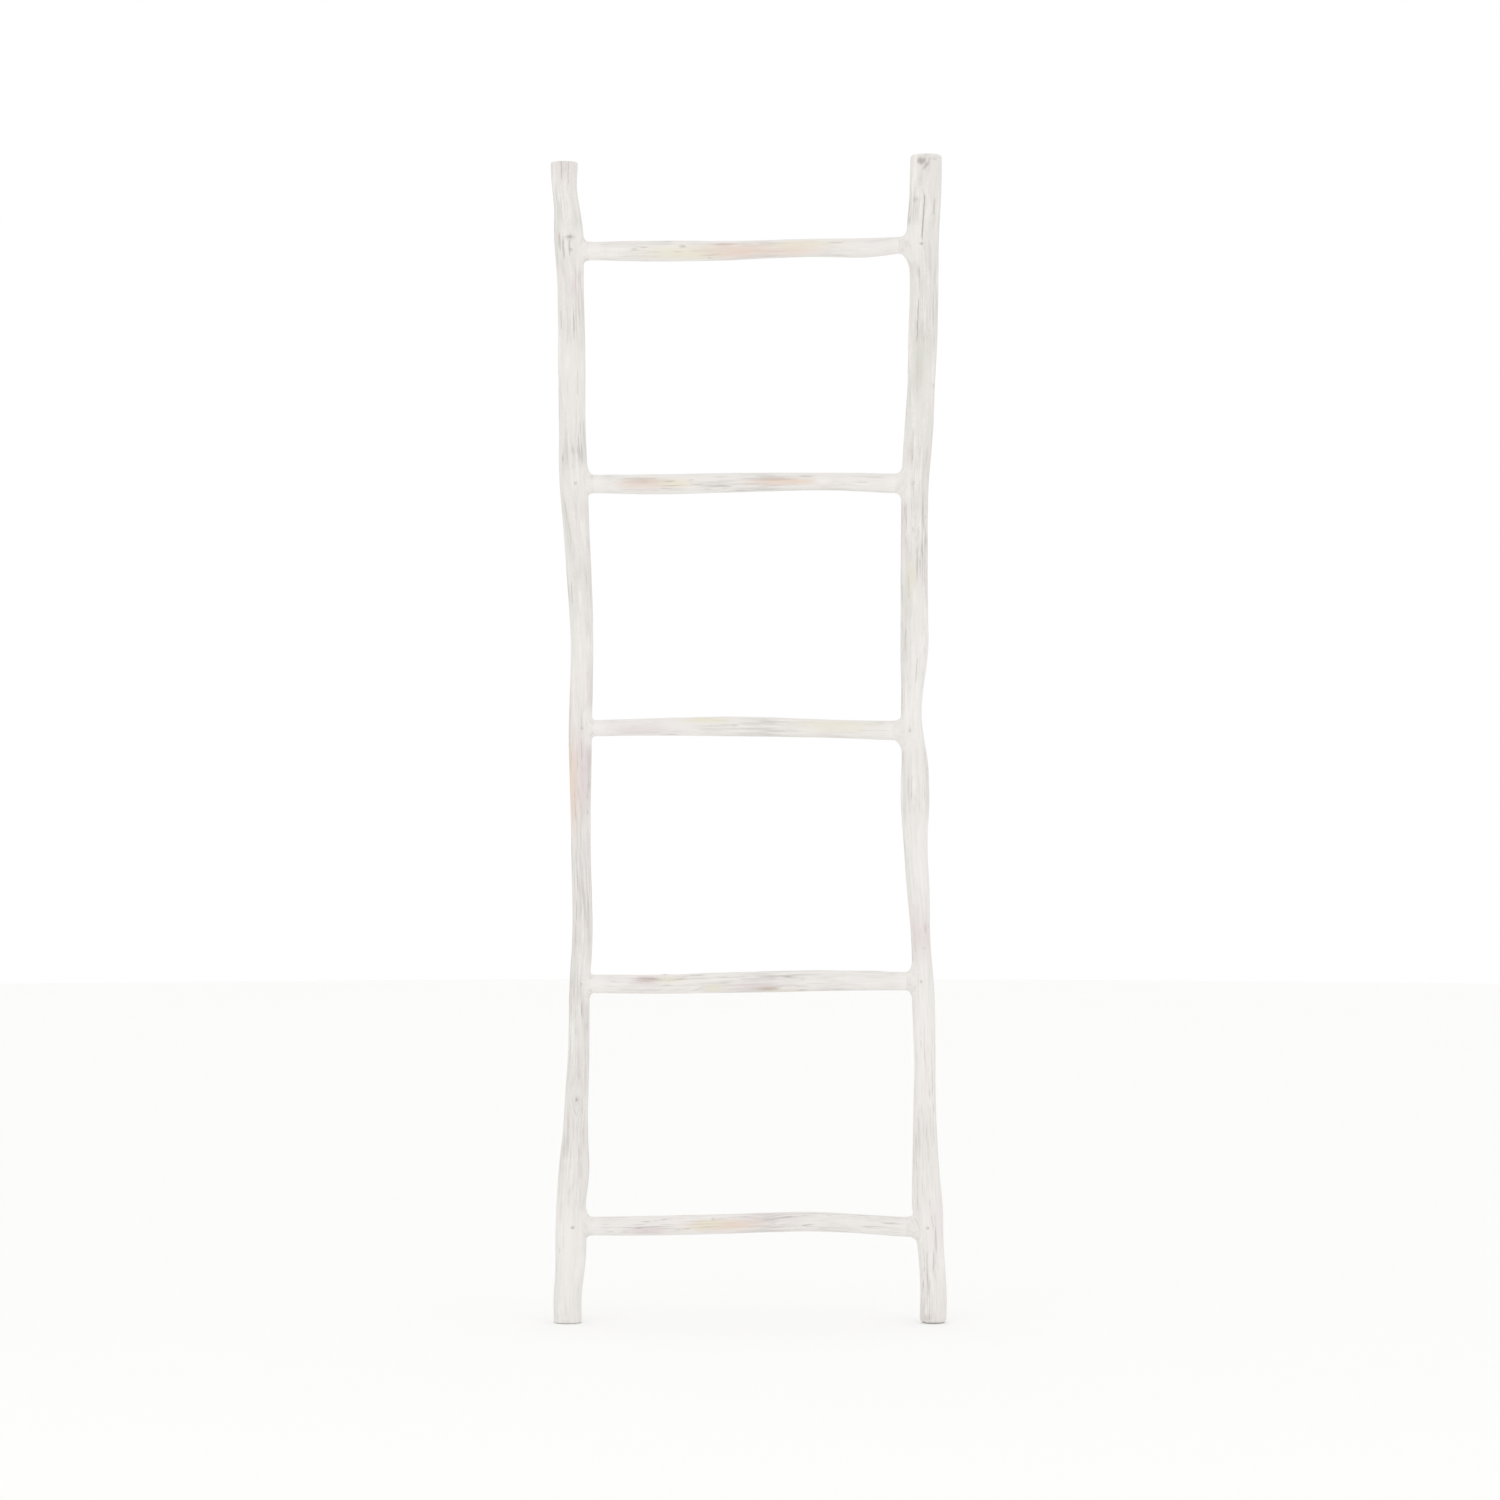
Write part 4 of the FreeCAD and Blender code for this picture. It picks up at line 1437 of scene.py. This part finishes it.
@dataclass
class Bead(Wrapped):
    """A bead of wood filler, smeared concave from a rail to its rung with a fingertip."""

    rail: Optional[Rail] = None
    rail_piece: Optional[bpy.types.Object] = None
    rung: Optional[Rung] = None
    rung_piece: Optional[bpy.types.Object] = None

    AXIS = Axis.LEVEL
    SIDES = 96
    STEPS = 14
    FEATHER = 0.06 * MM  # how proud the bead's thin edges stand
    TUCK = 1.6 * MM  # how far its edges run into the wood
    FREE = 20 * MM  # a margin so wide that the rung isn't felt
    RAIL_SHARE = 0.87
    LEAST_CHEEK = 1.2 * MM
    RUNG_REACH = 40 * MM  # how far out from a point its ray at the rung starts
    LUMP_HEIGHT = 0.5 * MM
    PORE_DEPTH = 0.25 * MM
    GIRTH_RADIUS = 14 * MM

    def placed(self, graph: MeshGraph, point: Direction, rings: Mapping[str, Value]) -> Direction:
        """Fit points to the real surfaces of the rail and then of the rung."""
        meeting = Meeting(self.rail, self.rail_piece, self.rung.height(), self.RAIL_SHARE)
        point = graph.hold("met", self.met(graph, point, rings["hug"], rings["clear"], meeting))

        reach = graph.size("Rung Reach", "Float", self.RUNG_REACH)
        line = graph.size("Rung Line", "Vector", tuple(self.rung.course.centre(self.tip())))
        x, y, z = point.parts()
        _, line_y, line_z = line.parts()
        spoke = graph.vector(0.0, y - line_y, z - line_z)
        radial = graph.vector_maths("NORMALIZE", spoke)
        cast = self.cast(graph, "Rung", self.rung_piece, point + radial * reach, -radial, reach * 2)
        own = graph.length(spoke)
        surface = graph.length(cast["Hit Position"] - graph.vector(x, line_y, line_z)) + rings["margin"]
        least = graph.most(own, surface)
        wanted = least + (surface - least) * rings["grip"]
        return point + radial * ((wanted - own) * cast["Is Hit"])

    def tip(self) -> float:
        """Where along the rung the bead ends."""
        low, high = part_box(self.node)
        return low.x if self.rail.outward > 0 else high.x

    def rings(self) -> list[Ring]:
        """The quarter-round outside from the rail to the rung, then the hidden bore back."""
        out = self.rail.outward
        low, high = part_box(self.node)
        face, tip = self.rung.face_x(self.rail), self.tip()
        reach = abs(face - tip)
        centre = self.rung.course.centre(tip)
        hold = self.rung.course.radius(tip)
        above, below = high.z - centre.z - hold, centre.z - hold - low.z
        cheek = max(self.LEAST_CHEEK, (high.y - low.y) / 2 - hold)

        def ring(distance: float, share: float, extra: float, grip: float, margin: float) -> Ring:
            """A ring at a distance from the rail, standing off the rung by a share of its spread."""
            rise, drop, bulge = (share * size + extra for size in (above, below, cheek))
            middle = Vector((face - out * distance, centre.y, centre.z + (rise - drop) / 2))
            up = hold + (rise + drop) / 2
            lumpy = 4 * share * (1 - share) if extra >= 0 else 0.0
            hug = hug_at(distance)
            return Ring(middle, hold + bulge, up, middle.x, 0.0, lumpy, hug, distance, grip, margin)

        found = [ring(-self.TUCK, 1.0, self.TUCK, 0.0, -self.FREE)]
        for step in range(self.STEPS + 1):
            bend = math.pi / 2 * step / self.STEPS
            distance = self.FEATHER + (reach - self.FEATHER) * (1 - math.cos(bend))
            grip = (distance / reach) ** 2
            found.append(ring(distance, 1 - math.sin(bend), 0.0, grip, self.FEATHER))
        found.append(ring(reach + self.TUCK, 0.0, 0.0, 1.0, -0.4 * self.TUCK))
        found.append(ring(reach * 0.5, 0.0, -self.TUCK, 1.0, -self.TUCK))
        found.append(ring(-self.TUCK, 0.0, -self.TUCK, 0.0, -self.FREE))
        found.append(ring(-self.TUCK, 1.0, self.TUCK, 0.0, -self.FREE))
        return found

    def relief(self, graph: MeshGraph, skin: Skin) -> Value:
        """Soft lumps and finger strokes round the joint."""
        lump = graph.size("Lump Height", "Float", self.LUMP_HEIGHT)
        across = graph.maths("COSINE", skin.turn) * self.GIRTH_RADIUS
        up = graph.maths("SINE", skin.turn) * self.GIRTH_RADIUS
        around = graph.vector(across, up, skin.travel)
        soft = graph.hold("soft", graph.noise(around, 9 * MM, seed=self.seed + 0.1))
        stroke = graph.noise(around * (1.0, 1.0, 0.35), 3 * MM, seed=self.seed + 0.2)
        pocked = graph.noise(around, 1.8 * MM, detail=1.0, seed=self.seed + 0.3)
        pores = graph.hold("pores", graph.fade(pocked, 0.68, 0.8))
        graph.keep("grain", graph.vector(across, skin.travel, up))
        smudge = graph.fade(graph.noise(around, 6 * MM, seed=self.seed + 0.4), 0.5, 0.68)
        graph.keep("dark", pores * 0.25 + smudge * 0.14)
        graph.keep("bare", soft * 0.3)
        graph.keep("warm", graph.vector(0.0, 0.0, 0.0))
        graph.keep("cool", graph.vector(0.0, 0.0, graph.fade(soft, 0.4, 0.6) * 0.5))
        return (soft - 0.5) * lump * 2 + (stroke - 0.5) * lump * 0.6 - pores * self.PORE_DEPTH


@dataclass
class Nail(Wrapped):
    """A round wire nail: a hammered head, gripped neck, shank and point."""

    AXIS = Axis.DEEP
    SIDES = 28
    SHANK_SHARE = 0.57  # the shank's width, as a share of the head's
    POINT = 2.5 * MM
    GRIPS = 8  # ridges and hollows under the head, in turn
    GRIP_START = 0.95 * MM
    GRIP_STEP = 0.35 * MM
    GRIP_HOLLOW = 0.93
    # The head's outline: millimetres deep, and the share of its radius
    HEAD = ((0.0, 0.0), (0.05, 0.45), (0.12, 0.8), (0.22, 0.95), (0.38, 1.0), (0.55, 0.98), (0.7, 0.8))

    def rings(self) -> list[Ring]:
        """From the middle of the head's face to the point."""
        low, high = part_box(self.node)
        middle = (low + high) / 2
        head = (high.x - low.x) / 2
        shank = head * self.SHANK_SHARE
        length = high.y - low.y
        found = [(low.y + depth * MM, share * head) for depth, share in self.HEAD]
        for k in range(self.GRIPS):
            place = low.y + self.GRIP_START + k * self.GRIP_STEP
            found.append((place, shank if k % 2 else shank * self.GRIP_HOLLOW))
        found += [(low.y + length * 0.6, shank), (high.y - self.POINT, shank), (high.y, 0.0)]
        return [Ring(Vector((middle.x, y, middle.z)), r, r, y) for y, r in found]

    def relief(self, graph: MeshGraph, skin: Skin) -> Value:
        """Slight hammer marks."""
        across = graph.maths("COSINE", skin.turn) * skin.radius
        up = graph.maths("SINE", skin.turn) * skin.radius
        around = graph.vector(across, up, skin.travel)
        dents = graph.noise(around, 0.8 * MM, detail=1.0, seed=float(self.seed))
        return (dents - 0.6) * 0.08 * MM


# Marks that the branches carry on the front


LEFT_RAIL_MARKS = [
    Mark(Kind.NICK, -236, 1391.5, 2.0, 6.0, 0.7, -0.2),
    Mark(Kind.NICK, -226, 1393.5, 2.4, 12.0, 1.0),
    Mark(Kind.STAIN, -229, 1391, 6, 13.0, 0.7),
    Mark(Kind.STAIN, -243, 1386, 12, 4.0, 0.8),
    Mark(Kind.STREAK, -242, 1387, 13, 1.5, 1.0),
    Mark(Kind.STREAK, -237.5, 1377, 15, 2.2, 1.0),
    Mark(Kind.STREAK, -229.7, 1379, 13, 1.9, 1.0),
    Mark(Kind.STREAK, -220, 1378, 15, 2.1, 1.0),
    Mark(Kind.CHALK, -233, 1378, 9, 2.2, 0.5),
    Mark(Kind.CHALK, -225, 1378, 9, 2.2, 0.5),
    Mark(Kind.STREAK, -221, 1308, 56, 1.5, 0.6),
    Mark(Kind.ROSE, -224.5, 1328, 12, 3.5, 0.8),
    Mark(Kind.STREAK, -240.6, 1287, 14, 2.0, 0.9),
    Mark(Kind.STREAK, -224, 1279, 20, 1.8, 0.9),
    Mark(Kind.STREAK, -232, 1282, 32, 1.0, 0.6),
    Mark(Kind.STREAK, -219, 1207, 19, 1.4, 0.8),
    Mark(Kind.STREAK, -221, 1190, 40, 1.0, 0.5),
    Mark(Kind.STAIN, -238.6, 1109, 10, 2.4, 1.0),
    Mark(Kind.STAIN, -214.5, 1097, 7, 3.5, 0.5),
    Mark(Kind.STREAK, -232, 1029, 32, 1.7, 0.8, -0.13),
    Mark(Kind.MOSS, -234, 1030, 34, 4.0, 0.7, -0.13),
    Mark(Kind.STREAK, -227, 937, 16, 1.7, 0.9),
    Mark(Kind.STREAK, -208, 954, 18, 1.3, 0.6),
    Mark(Kind.STREAK, -228.4, 787, 10, 1.6, 0.6),
    Mark(Kind.STAIN, -207, 761, 8, 4.0, 0.5),
    Mark(Kind.PEACH, -227, 694, 52, 12.0, 1.0),
    Mark(Kind.ROSE, -212, 706, 46, 10.0, 0.9),
    Mark(Kind.UMBER, -222, 655, 12, 1.6, 0.5, -0.1),
    Mark(Kind.STAIN, -206.5, 656, 5, 3.0, 0.8),
    Mark(Kind.STREAK, -222, 598, 10, 1.4, 0.6),
    Mark(Kind.STREAK, -221, 530, 16, 1.3, 0.8),
    Mark(Kind.STAIN, -226.4, 440, 10, 2.4, 0.5),
    Mark(Kind.KNOT, -220.7, 287, 11, 6.5, 0.8),
    Mark(Kind.STREAK, -224.5, 278, 14, 1.4, 0.9, -0.33),
    Mark(Kind.STREAK, -216.9, 278, 14, 1.2, 0.7, 0.33),
    Mark(Kind.STREAK, -219.4, 322, 11, 1.3, 0.6, -0.3),
    Mark(Kind.STREAK, -212.5, 325, 11, 1.2, 0.5, -0.2),
    Mark(Kind.STREAK, -218.5, 170, 24, 1.1, 0.6),
    Mark(Kind.STREAK, -237.6, 112, 24, 1.1, 0.5),
    Mark(Kind.STAIN, -242.5, 93, 6, 2.4, 0.7),
    Mark(Kind.MOSS, -246, 60, 44, 5.0, 0.7),
    Mark(Kind.CHALK, -234, 90, 100, 24.0, 0.7),
    Mark(Kind.CHALK, -225, 1220, 60, 16.0, 0.5),
    Mark(Kind.CHALK, -222, 850, 60, 18.0, 0.6),
    Mark(Kind.STAIN, -234, 2, 3.0, 8.0, 0.6),
    Mark(Kind.ROSE, -232, 1484, 14, 18.0, 0.35),
    Mark(Kind.STAIN, -222, 1493, 3, 7.0, 0.7),
    Mark(Kind.STREAK, -240, 1481, 18, 2.0, 0.9),
    Mark(Kind.STREAK, -231, 1478, 20, 1.6, 0.8),
    Mark(Kind.STAIN, -221, 1463, 6, 1.8, 0.6),
]

RIGHT_RAIL_MARKS = [
    Mark(Kind.STAIN, 221, 1490, 8, 7.0, 1.3),
    Mark(Kind.STAIN, 227, 1484, 7, 3.0, 1.1, 0.5),
    Mark(Kind.STAIN, 236, 1493, 3, 9.0, 0.8),
    Mark(Kind.STAIN, 219, 1466, 18, 4.0, 0.6),
    Mark(Kind.CHECK, 223.2, 1418, 33, 1.5, 0.85),
    Mark(Kind.STREAK, 222.2, 1466, 24, 1.6, 0.6),
    Mark(Kind.STAIN, 213.6, 1441, 6, 5.0, 0.8),
    Mark(Kind.STREAK, 237.5, 1432, 12, 2.0, 0.8),
    Mark(Kind.STAIN, 206, 1386, 5, 4.0, 1.0),
    Mark(Kind.STREAK, 208, 1365, 9, 1.8, 0.8),
    Mark(Kind.CHECK, 216.4, 1288, 32, 1.4, 0.8),
    Mark(Kind.STREAK, 222.5, 1320, 30, 1.2, 0.6),
    Mark(Kind.MOSS, 218, 1228, 34, 6.0, 0.9),
    Mark(Kind.STREAK, 216.5, 1232, 24, 1.4, 0.6),
    Mark(Kind.STREAK, 221.5, 1225, 28, 1.2, 0.5),
    Mark(Kind.STAIN, 237.5, 1203, 5, 2.2, 0.9),
    Mark(Kind.STAIN, 208.5, 1072, 9, 4.0, 0.4),
    Mark(Kind.STAIN, 226.5, 1034, 4, 2.2, 0.9),
    Mark(Kind.STREAK, 226.5, 1000, 30, 1.0, 0.5),
    Mark(Kind.STREAK, 204.5, 945, 18, 2.0, 0.7),
    Mark(Kind.HONEY, 208, 955, 20, 4.0, 0.9),
    Mark(Kind.MOSS, 203, 930, 30, 5.0, 0.6),
    Mark(Kind.STREAK, 200.5, 877, 18, 1.6, 0.8),
    Mark(Kind.STREAK, 215, 837, 18, 1.8, 0.8),
    Mark(Kind.STREAK, 219, 846, 14, 1.3, 0.6),
    Mark(Kind.STAIN, 206, 815, 7, 3.0, 0.5),
    Mark(Kind.STAIN, 206, 763, 8, 3.5, 0.6),
    Mark(Kind.STAIN, 229, 712, 4, 3.5, 0.7),
    Mark(Kind.CHALK, 225.2, 665, 12, 3.5, 1.0),
    Mark(Kind.UMBER, 227, 507, 6, 3.0, 0.9),
    Mark(Kind.STAIN, 230.5, 509, 6, 1.8, 0.8),
    Mark(Kind.DENT, 228, 507, 8, 4.0, 0.7),
    Mark(Kind.ROSE, 221.3, 498, 32, 15.0, 0.9),
    Mark(Kind.STAIN, 225, 481, 2.5, 6.0, 0.7),
    Mark(Kind.CHALK, 218, 800, 120, 22.0, 0.75),
    Mark(Kind.CHALK, 222, 590, 90, 22.0, 0.8),
    Mark(Kind.CHALK, 226, 370, 110, 26.0, 0.85),
    Mark(Kind.CHALK, 236, 130, 120, 24.0, 0.7),
    Mark(Kind.STREAK, 230, 222, 18, 2.2, 0.6),
    Mark(Kind.MOSS, 226, 240, 40, 4.0, 0.5),
    Mark(Kind.ROSE, 241, 127, 30, 10.0, 0.9),
    Mark(Kind.CHALK, 240.5, 92, 6, 2.5, 1.0),
    Mark(Kind.STREAK, 228.6, 38, 14, 1.6, 0.6),
    Mark(Kind.UMBER, 229, 8, 3, 5.0, 0.6),
    Mark(Kind.STAIN, 228, 5, 2.5, 6.0, 0.6),
    Mark(Kind.DENT, 228, 7, 6, 5.0, 0.8),
]

RUNG_MARKS = {
    "top": [
        Mark(Kind.STREAK, -140, 1384, 60, 1.8, 0.6),
        Mark(Kind.STREAK, -165, 1381, 30, 1.4, 0.5),
        Mark(Kind.STAIN, -85, 1381, 6, 3.0, 0.9),
        Mark(Kind.STREAK, 111, 1386, 12, 1.4, 0.8),
        Mark(Kind.HONEY, -88, 1372, 42, 8.0, 0.9),
        Mark(Kind.PEACH, -17, 1375, 55, 9.0, 1.0),
        Mark(Kind.PEACH, 55, 1378, 38, 9.0, 0.8),
        Mark(Kind.HONEY, 70, 1384, 40, 6.0, 0.7),
        Mark(Kind.UMBER, -29, 1384, 22, 2.0, 0.5),
        Mark(Kind.STREAK, -194, 1366, 18, 1.8, 0.5),
    ],
    "upper": [
        Mark(Kind.UMBER, -138, 1081, 26, 4.0, 0.4),
        Mark(Kind.PEACH, -130, 1077, 34, 7.0, 0.7),
        Mark(Kind.STREAK, -140, 1084, 24, 1.5, 0.8),
        Mark(Kind.HONEY, -92, 1078, 20, 5.0, 1.0),
        Mark(Kind.STREAK, -105, 1071, 10, 1.2, 0.8),
        Mark(Kind.PEACH, 48, 1080, 42, 4.5, 1.0),
        Mark(Kind.UMBER, 30, 1083, 22, 2.0, 0.6),
        Mark(Kind.STAIN, 73, 1087, 12, 2.6, 0.8),
        Mark(Kind.CHALK, 96, 1081, 10, 4.0, 1.0),
        Mark(Kind.STREAK, 156, 1086, 30, 1.6, 0.6),
        Mark(Kind.STAIN, -75, 1080, 6, 4.0, 0.5),
        Mark(Kind.STAIN, -38, 1079, 6, 4.0, 0.4),
    ],
    "middle": [
        Mark(Kind.HONEY, -57, 774, 26, 5.0, 1.0),
        Mark(Kind.STAIN, -18, 767, 7, 3.0, 0.6),
        Mark(Kind.HONEY, 110, 767, 40, 8.0, 0.7),
        Mark(Kind.STAIN, 186, 768, 8, 5.0, 0.5),
        Mark(Kind.ROSE, -140, 762, 40, 9.0, 0.5),
    ],
    "lower": [
        Mark(Kind.UMBER, -131, 441, 13, 3.0, 0.6),
        Mark(Kind.ROSE, -131, 440, 18, 6.0, 0.8),
        Mark(Kind.HONEY, -104, 441, 16, 5.0, 0.7),
        Mark(Kind.HONEY, -45, 430, 12, 5.0, 0.9),
        Mark(Kind.STREAK, -66, 428, 9, 1.4, 0.7, 0.3),
        Mark(Kind.UMBER, 24, 429, 12, 2.2, 0.8),
        Mark(Kind.ROSE, 10, 432, 26, 6.0, 0.7),
        Mark(Kind.STAIN, 69, 442, 4, 4.0, 0.6),
    ],
    "bottom": [
        Mark(Kind.ROSE, -129, 119, 20, 5.0, 0.9),
        Mark(Kind.STREAK, -135, 116, 12, 1.2, 0.6),
        Mark(Kind.STREAK, -178, 118, 12, 1.2, 0.5),
        Mark(Kind.PEACH, -32, 127, 44, 6.5, 1.0),
        Mark(Kind.HONEY, -52, 127, 18, 6.0, 1.0),
        Mark(Kind.STAIN, -46, 134, 5, 3.0, 0.7),
        Mark(Kind.ROSE, 20, 136, 30, 6.0, 0.5),
    ],
}


# The ladder and its studio


RUNG_NAMES = ("bottom", "lower", "middle", "upper", "top")
SIDE_SIGNS = {"left": -1, "right": 1}


@dataclass
class Ladder:
    """The whole ladder, built rails first, because the rungs and beads are fitted to them."""

    rail_cover: float = 0.75
    rung_cover: float = 1.15
    filler_cover: float = 1.0
    rails: dict[str, Rail] = field(default_factory=dict)
    rail_pieces: dict[str, bpy.types.Object] = field(default_factory=dict)
    rungs: dict[str, Rung] = field(default_factory=dict)
    rung_pieces: dict[str, bpy.types.Object] = field(default_factory=dict)

    # Which of many patterns each kind of piece has, and how far apart its pieces' patterns are
    RAIL_SEEDS = (11, 6)
    RUNG_SEEDS = (31, 7)
    BEAD_SEEDS = (71, 1)
    NAIL_SEEDS = (91, 1)
    NAIL_WINDOW = 3.5 * MM  # how far each way from a nail the rail's rings are closer
    NAIL_STEP = 0.5 * MM

    @staticmethod
    def seed(seeds: tuple[int, int], number: int) -> int:
        """The seed of a numbered piece."""
        first, step = seeds
        return first + number * step

    def build(self) -> None:
        """Make every piece."""
        self.build_rails(Whitewash("rail_whitewash", self.rail_cover, seed=10.0))
        self.build_rungs(Whitewash("rung_whitewash", self.rung_cover, seed=30.0))
        self.build_beads(Whitewash("filler_whitewash", self.filler_cover, seed=50.0))
        self.build_nails(Steel())

    def build_rails(self, finish: Finish) -> None:
        """Make both rails, with finer rings where the nails are."""
        marks = {"left": LEFT_RAIL_MARKS, "right": RIGHT_RAIL_MARKS}
        for number, (side, outward) in enumerate(SIDE_SIGNS.items()):
            nails = [f"{rung}_rung_{side}_nail" for rung in RUNG_NAMES]
            heights = [(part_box(nail)[0].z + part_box(nail)[1].z) / 2 for nail in nails]
            rail = Rail(
                name=f"{side}_rail_branch",
                node=f"{side}_rail",
                slot="rail_wood",
                finish=finish,
                seed=self.seed(self.RAIL_SEEDS, number),
                marks=marks[side],
                windows=[Window(height, self.NAIL_WINDOW, self.NAIL_STEP) for height in heights],
                outward=outward,
                nails=nails,
            )
            self.rails[side] = rail
            self.rail_pieces[side] = rail.build()

    def build_rungs(self, finish: Finish) -> None:
        """Make the rungs between the rails."""
        for number, name in enumerate(RUNG_NAMES):
            rung = Rung(
                name=f"{name}_rung_branch",
                node=f"{name}_rung",
                slot="rung_wood",
                finish=finish,
                seed=self.seed(self.RUNG_SEEDS, number),
                marks=RUNG_MARKS[name],
                left_rail=self.rails["left"],
                right_rail=self.rails["right"],
                rail_pieces=self.rail_pieces,
            )
            self.rungs[name] = rung
            self.rung_pieces[name] = rung.build()

    def build_beads(self, finish: Finish) -> None:
        """Make the filler bead at each joint."""
        for number, (name, side) in enumerate(self.joints()):
            Bead(
                name=f"{name}_{side}_bead",
                node=f"{name}_rung_{side}_filler",
                slot="joint_filler",
                finish=finish,
                seed=self.seed(self.BEAD_SEEDS, number),
                rail=self.rails[side],
                rail_piece=self.rail_pieces[side],
                rung=self.rungs[name],
                rung_piece=self.rung_pieces[name],
            ).build()

    def build_nails(self, finish: Finish) -> None:
        """Make the nail at each joint."""
        for number, (name, side) in enumerate(self.joints()):
            Nail(
                name=f"{name}_{side}_pin",
                node=f"{name}_rung_{side}_nail",
                slot="nail_steel",
                finish=finish,
                seed=self.seed(self.NAIL_SEEDS, number),
            ).build()

    @staticmethod
    def joints() -> Iterator[tuple[str, str]]:
        """Every pair of a rung and a side."""
        return ((name, side) for name in RUNG_NAMES for side in SIDE_SIGNS)


@dataclass(frozen=True)
class Softbox:
    """A square soft light: its place, its width and its power in watts."""

    name: str
    place: Vector
    size: float
    power: float


@dataclass
class Studio:
    """A pale floor, plain soft light, and the camera straight in front of the ladder."""

    distance: float = 6.0
    eye_x: float = 1.6 * MM
    eye_z: float = 735.5 * MM
    view_width: float = 1927 * MM  # what the picture takes in at the ladder
    sensor: float = 36.0
    floor_reach: float = 9.0
    floor_corners: int = 96
    sky: float = 1.0
    softboxes: Sequence[Softbox] = (
        Softbox("front_softbox", Vector((-1.8, -4.4, 1.1)), 2.6, 11.0),
        Softbox("side_softbox", Vector((3.0, -2.6, 0.9)), 2.2, 2.5),
    )

    def build(self) -> None:
        """Make the floor, the lights, the sky and the camera."""
        self.make_floor()
        self.make_sky()
        for softbox in self.softboxes:
            self.make_softbox(softbox)
        self.make_camera()
        bpy.context.scene.view_settings.view_transform = "Standard"

    def make_floor(self) -> None:
        """A round pale floor under the feet."""
        mesh = bpy.data.meshes.new("floor")
        reach, turns = self.floor_reach, all_round(self.floor_corners)
        points = [(reach * math.cos(turn), reach * math.sin(turn), CAD_LOW.z) for turn in turns]
        mesh.from_pydata(points, [], [list(range(self.floor_corners))])
        mesh.materials.append(PaleFloor().material)
        floor = bpy.data.objects.new("floor", mesh)
        bpy.context.scene.collection.objects.link(floor)

    def make_sky(self) -> None:
        """White all round."""
        world = bpy.data.worlds.new("white_studio")
        world.use_nodes = True
        background = world.node_tree.nodes["Background"]
        background.inputs["Color"].default_value = (1.0, 1.0, 1.0, 1.0)
        background.inputs["Strength"].default_value = self.sky
        bpy.context.scene.world = world

    def make_softbox(self, softbox: Softbox) -> None:
        """A soft light aimed at the middle of the ladder."""
        light = bpy.data.lights.new(softbox.name, "AREA")
        light.size = softbox.size
        light.energy = softbox.power
        box = bpy.data.objects.new(softbox.name, light)
        box.location = softbox.place
        aim = Vector((0, 0, (CAD_LOW.z + CAD_HIGH.z) / 2)) - softbox.place
        box.rotation_euler = aim.to_track_quat("-Z", "Y").to_euler()
        bpy.context.scene.collection.objects.link(box)

    def make_camera(self) -> None:
        """The camera, level and square to the ladder."""
        lens = bpy.data.cameras.new("camera")
        lens.sensor_width = self.sensor
        lens.lens = self.sensor * self.distance / self.view_width
        camera = bpy.data.objects.new("camera", lens)
        camera.location = (self.eye_x, -self.distance, self.eye_z)
        camera.rotation_euler = (math.pi / 2, 0, 0)
        bpy.context.scene.collection.objects.link(camera)
        bpy.context.scene.camera = camera


def main() -> None:
    """Build the studio and the ladder."""
    logging.basicConfig(level=logging.INFO, format="%(name)s: %(message)s")
    Studio().build()
    Ladder().build()


if __name__ == "__main__":
    main()
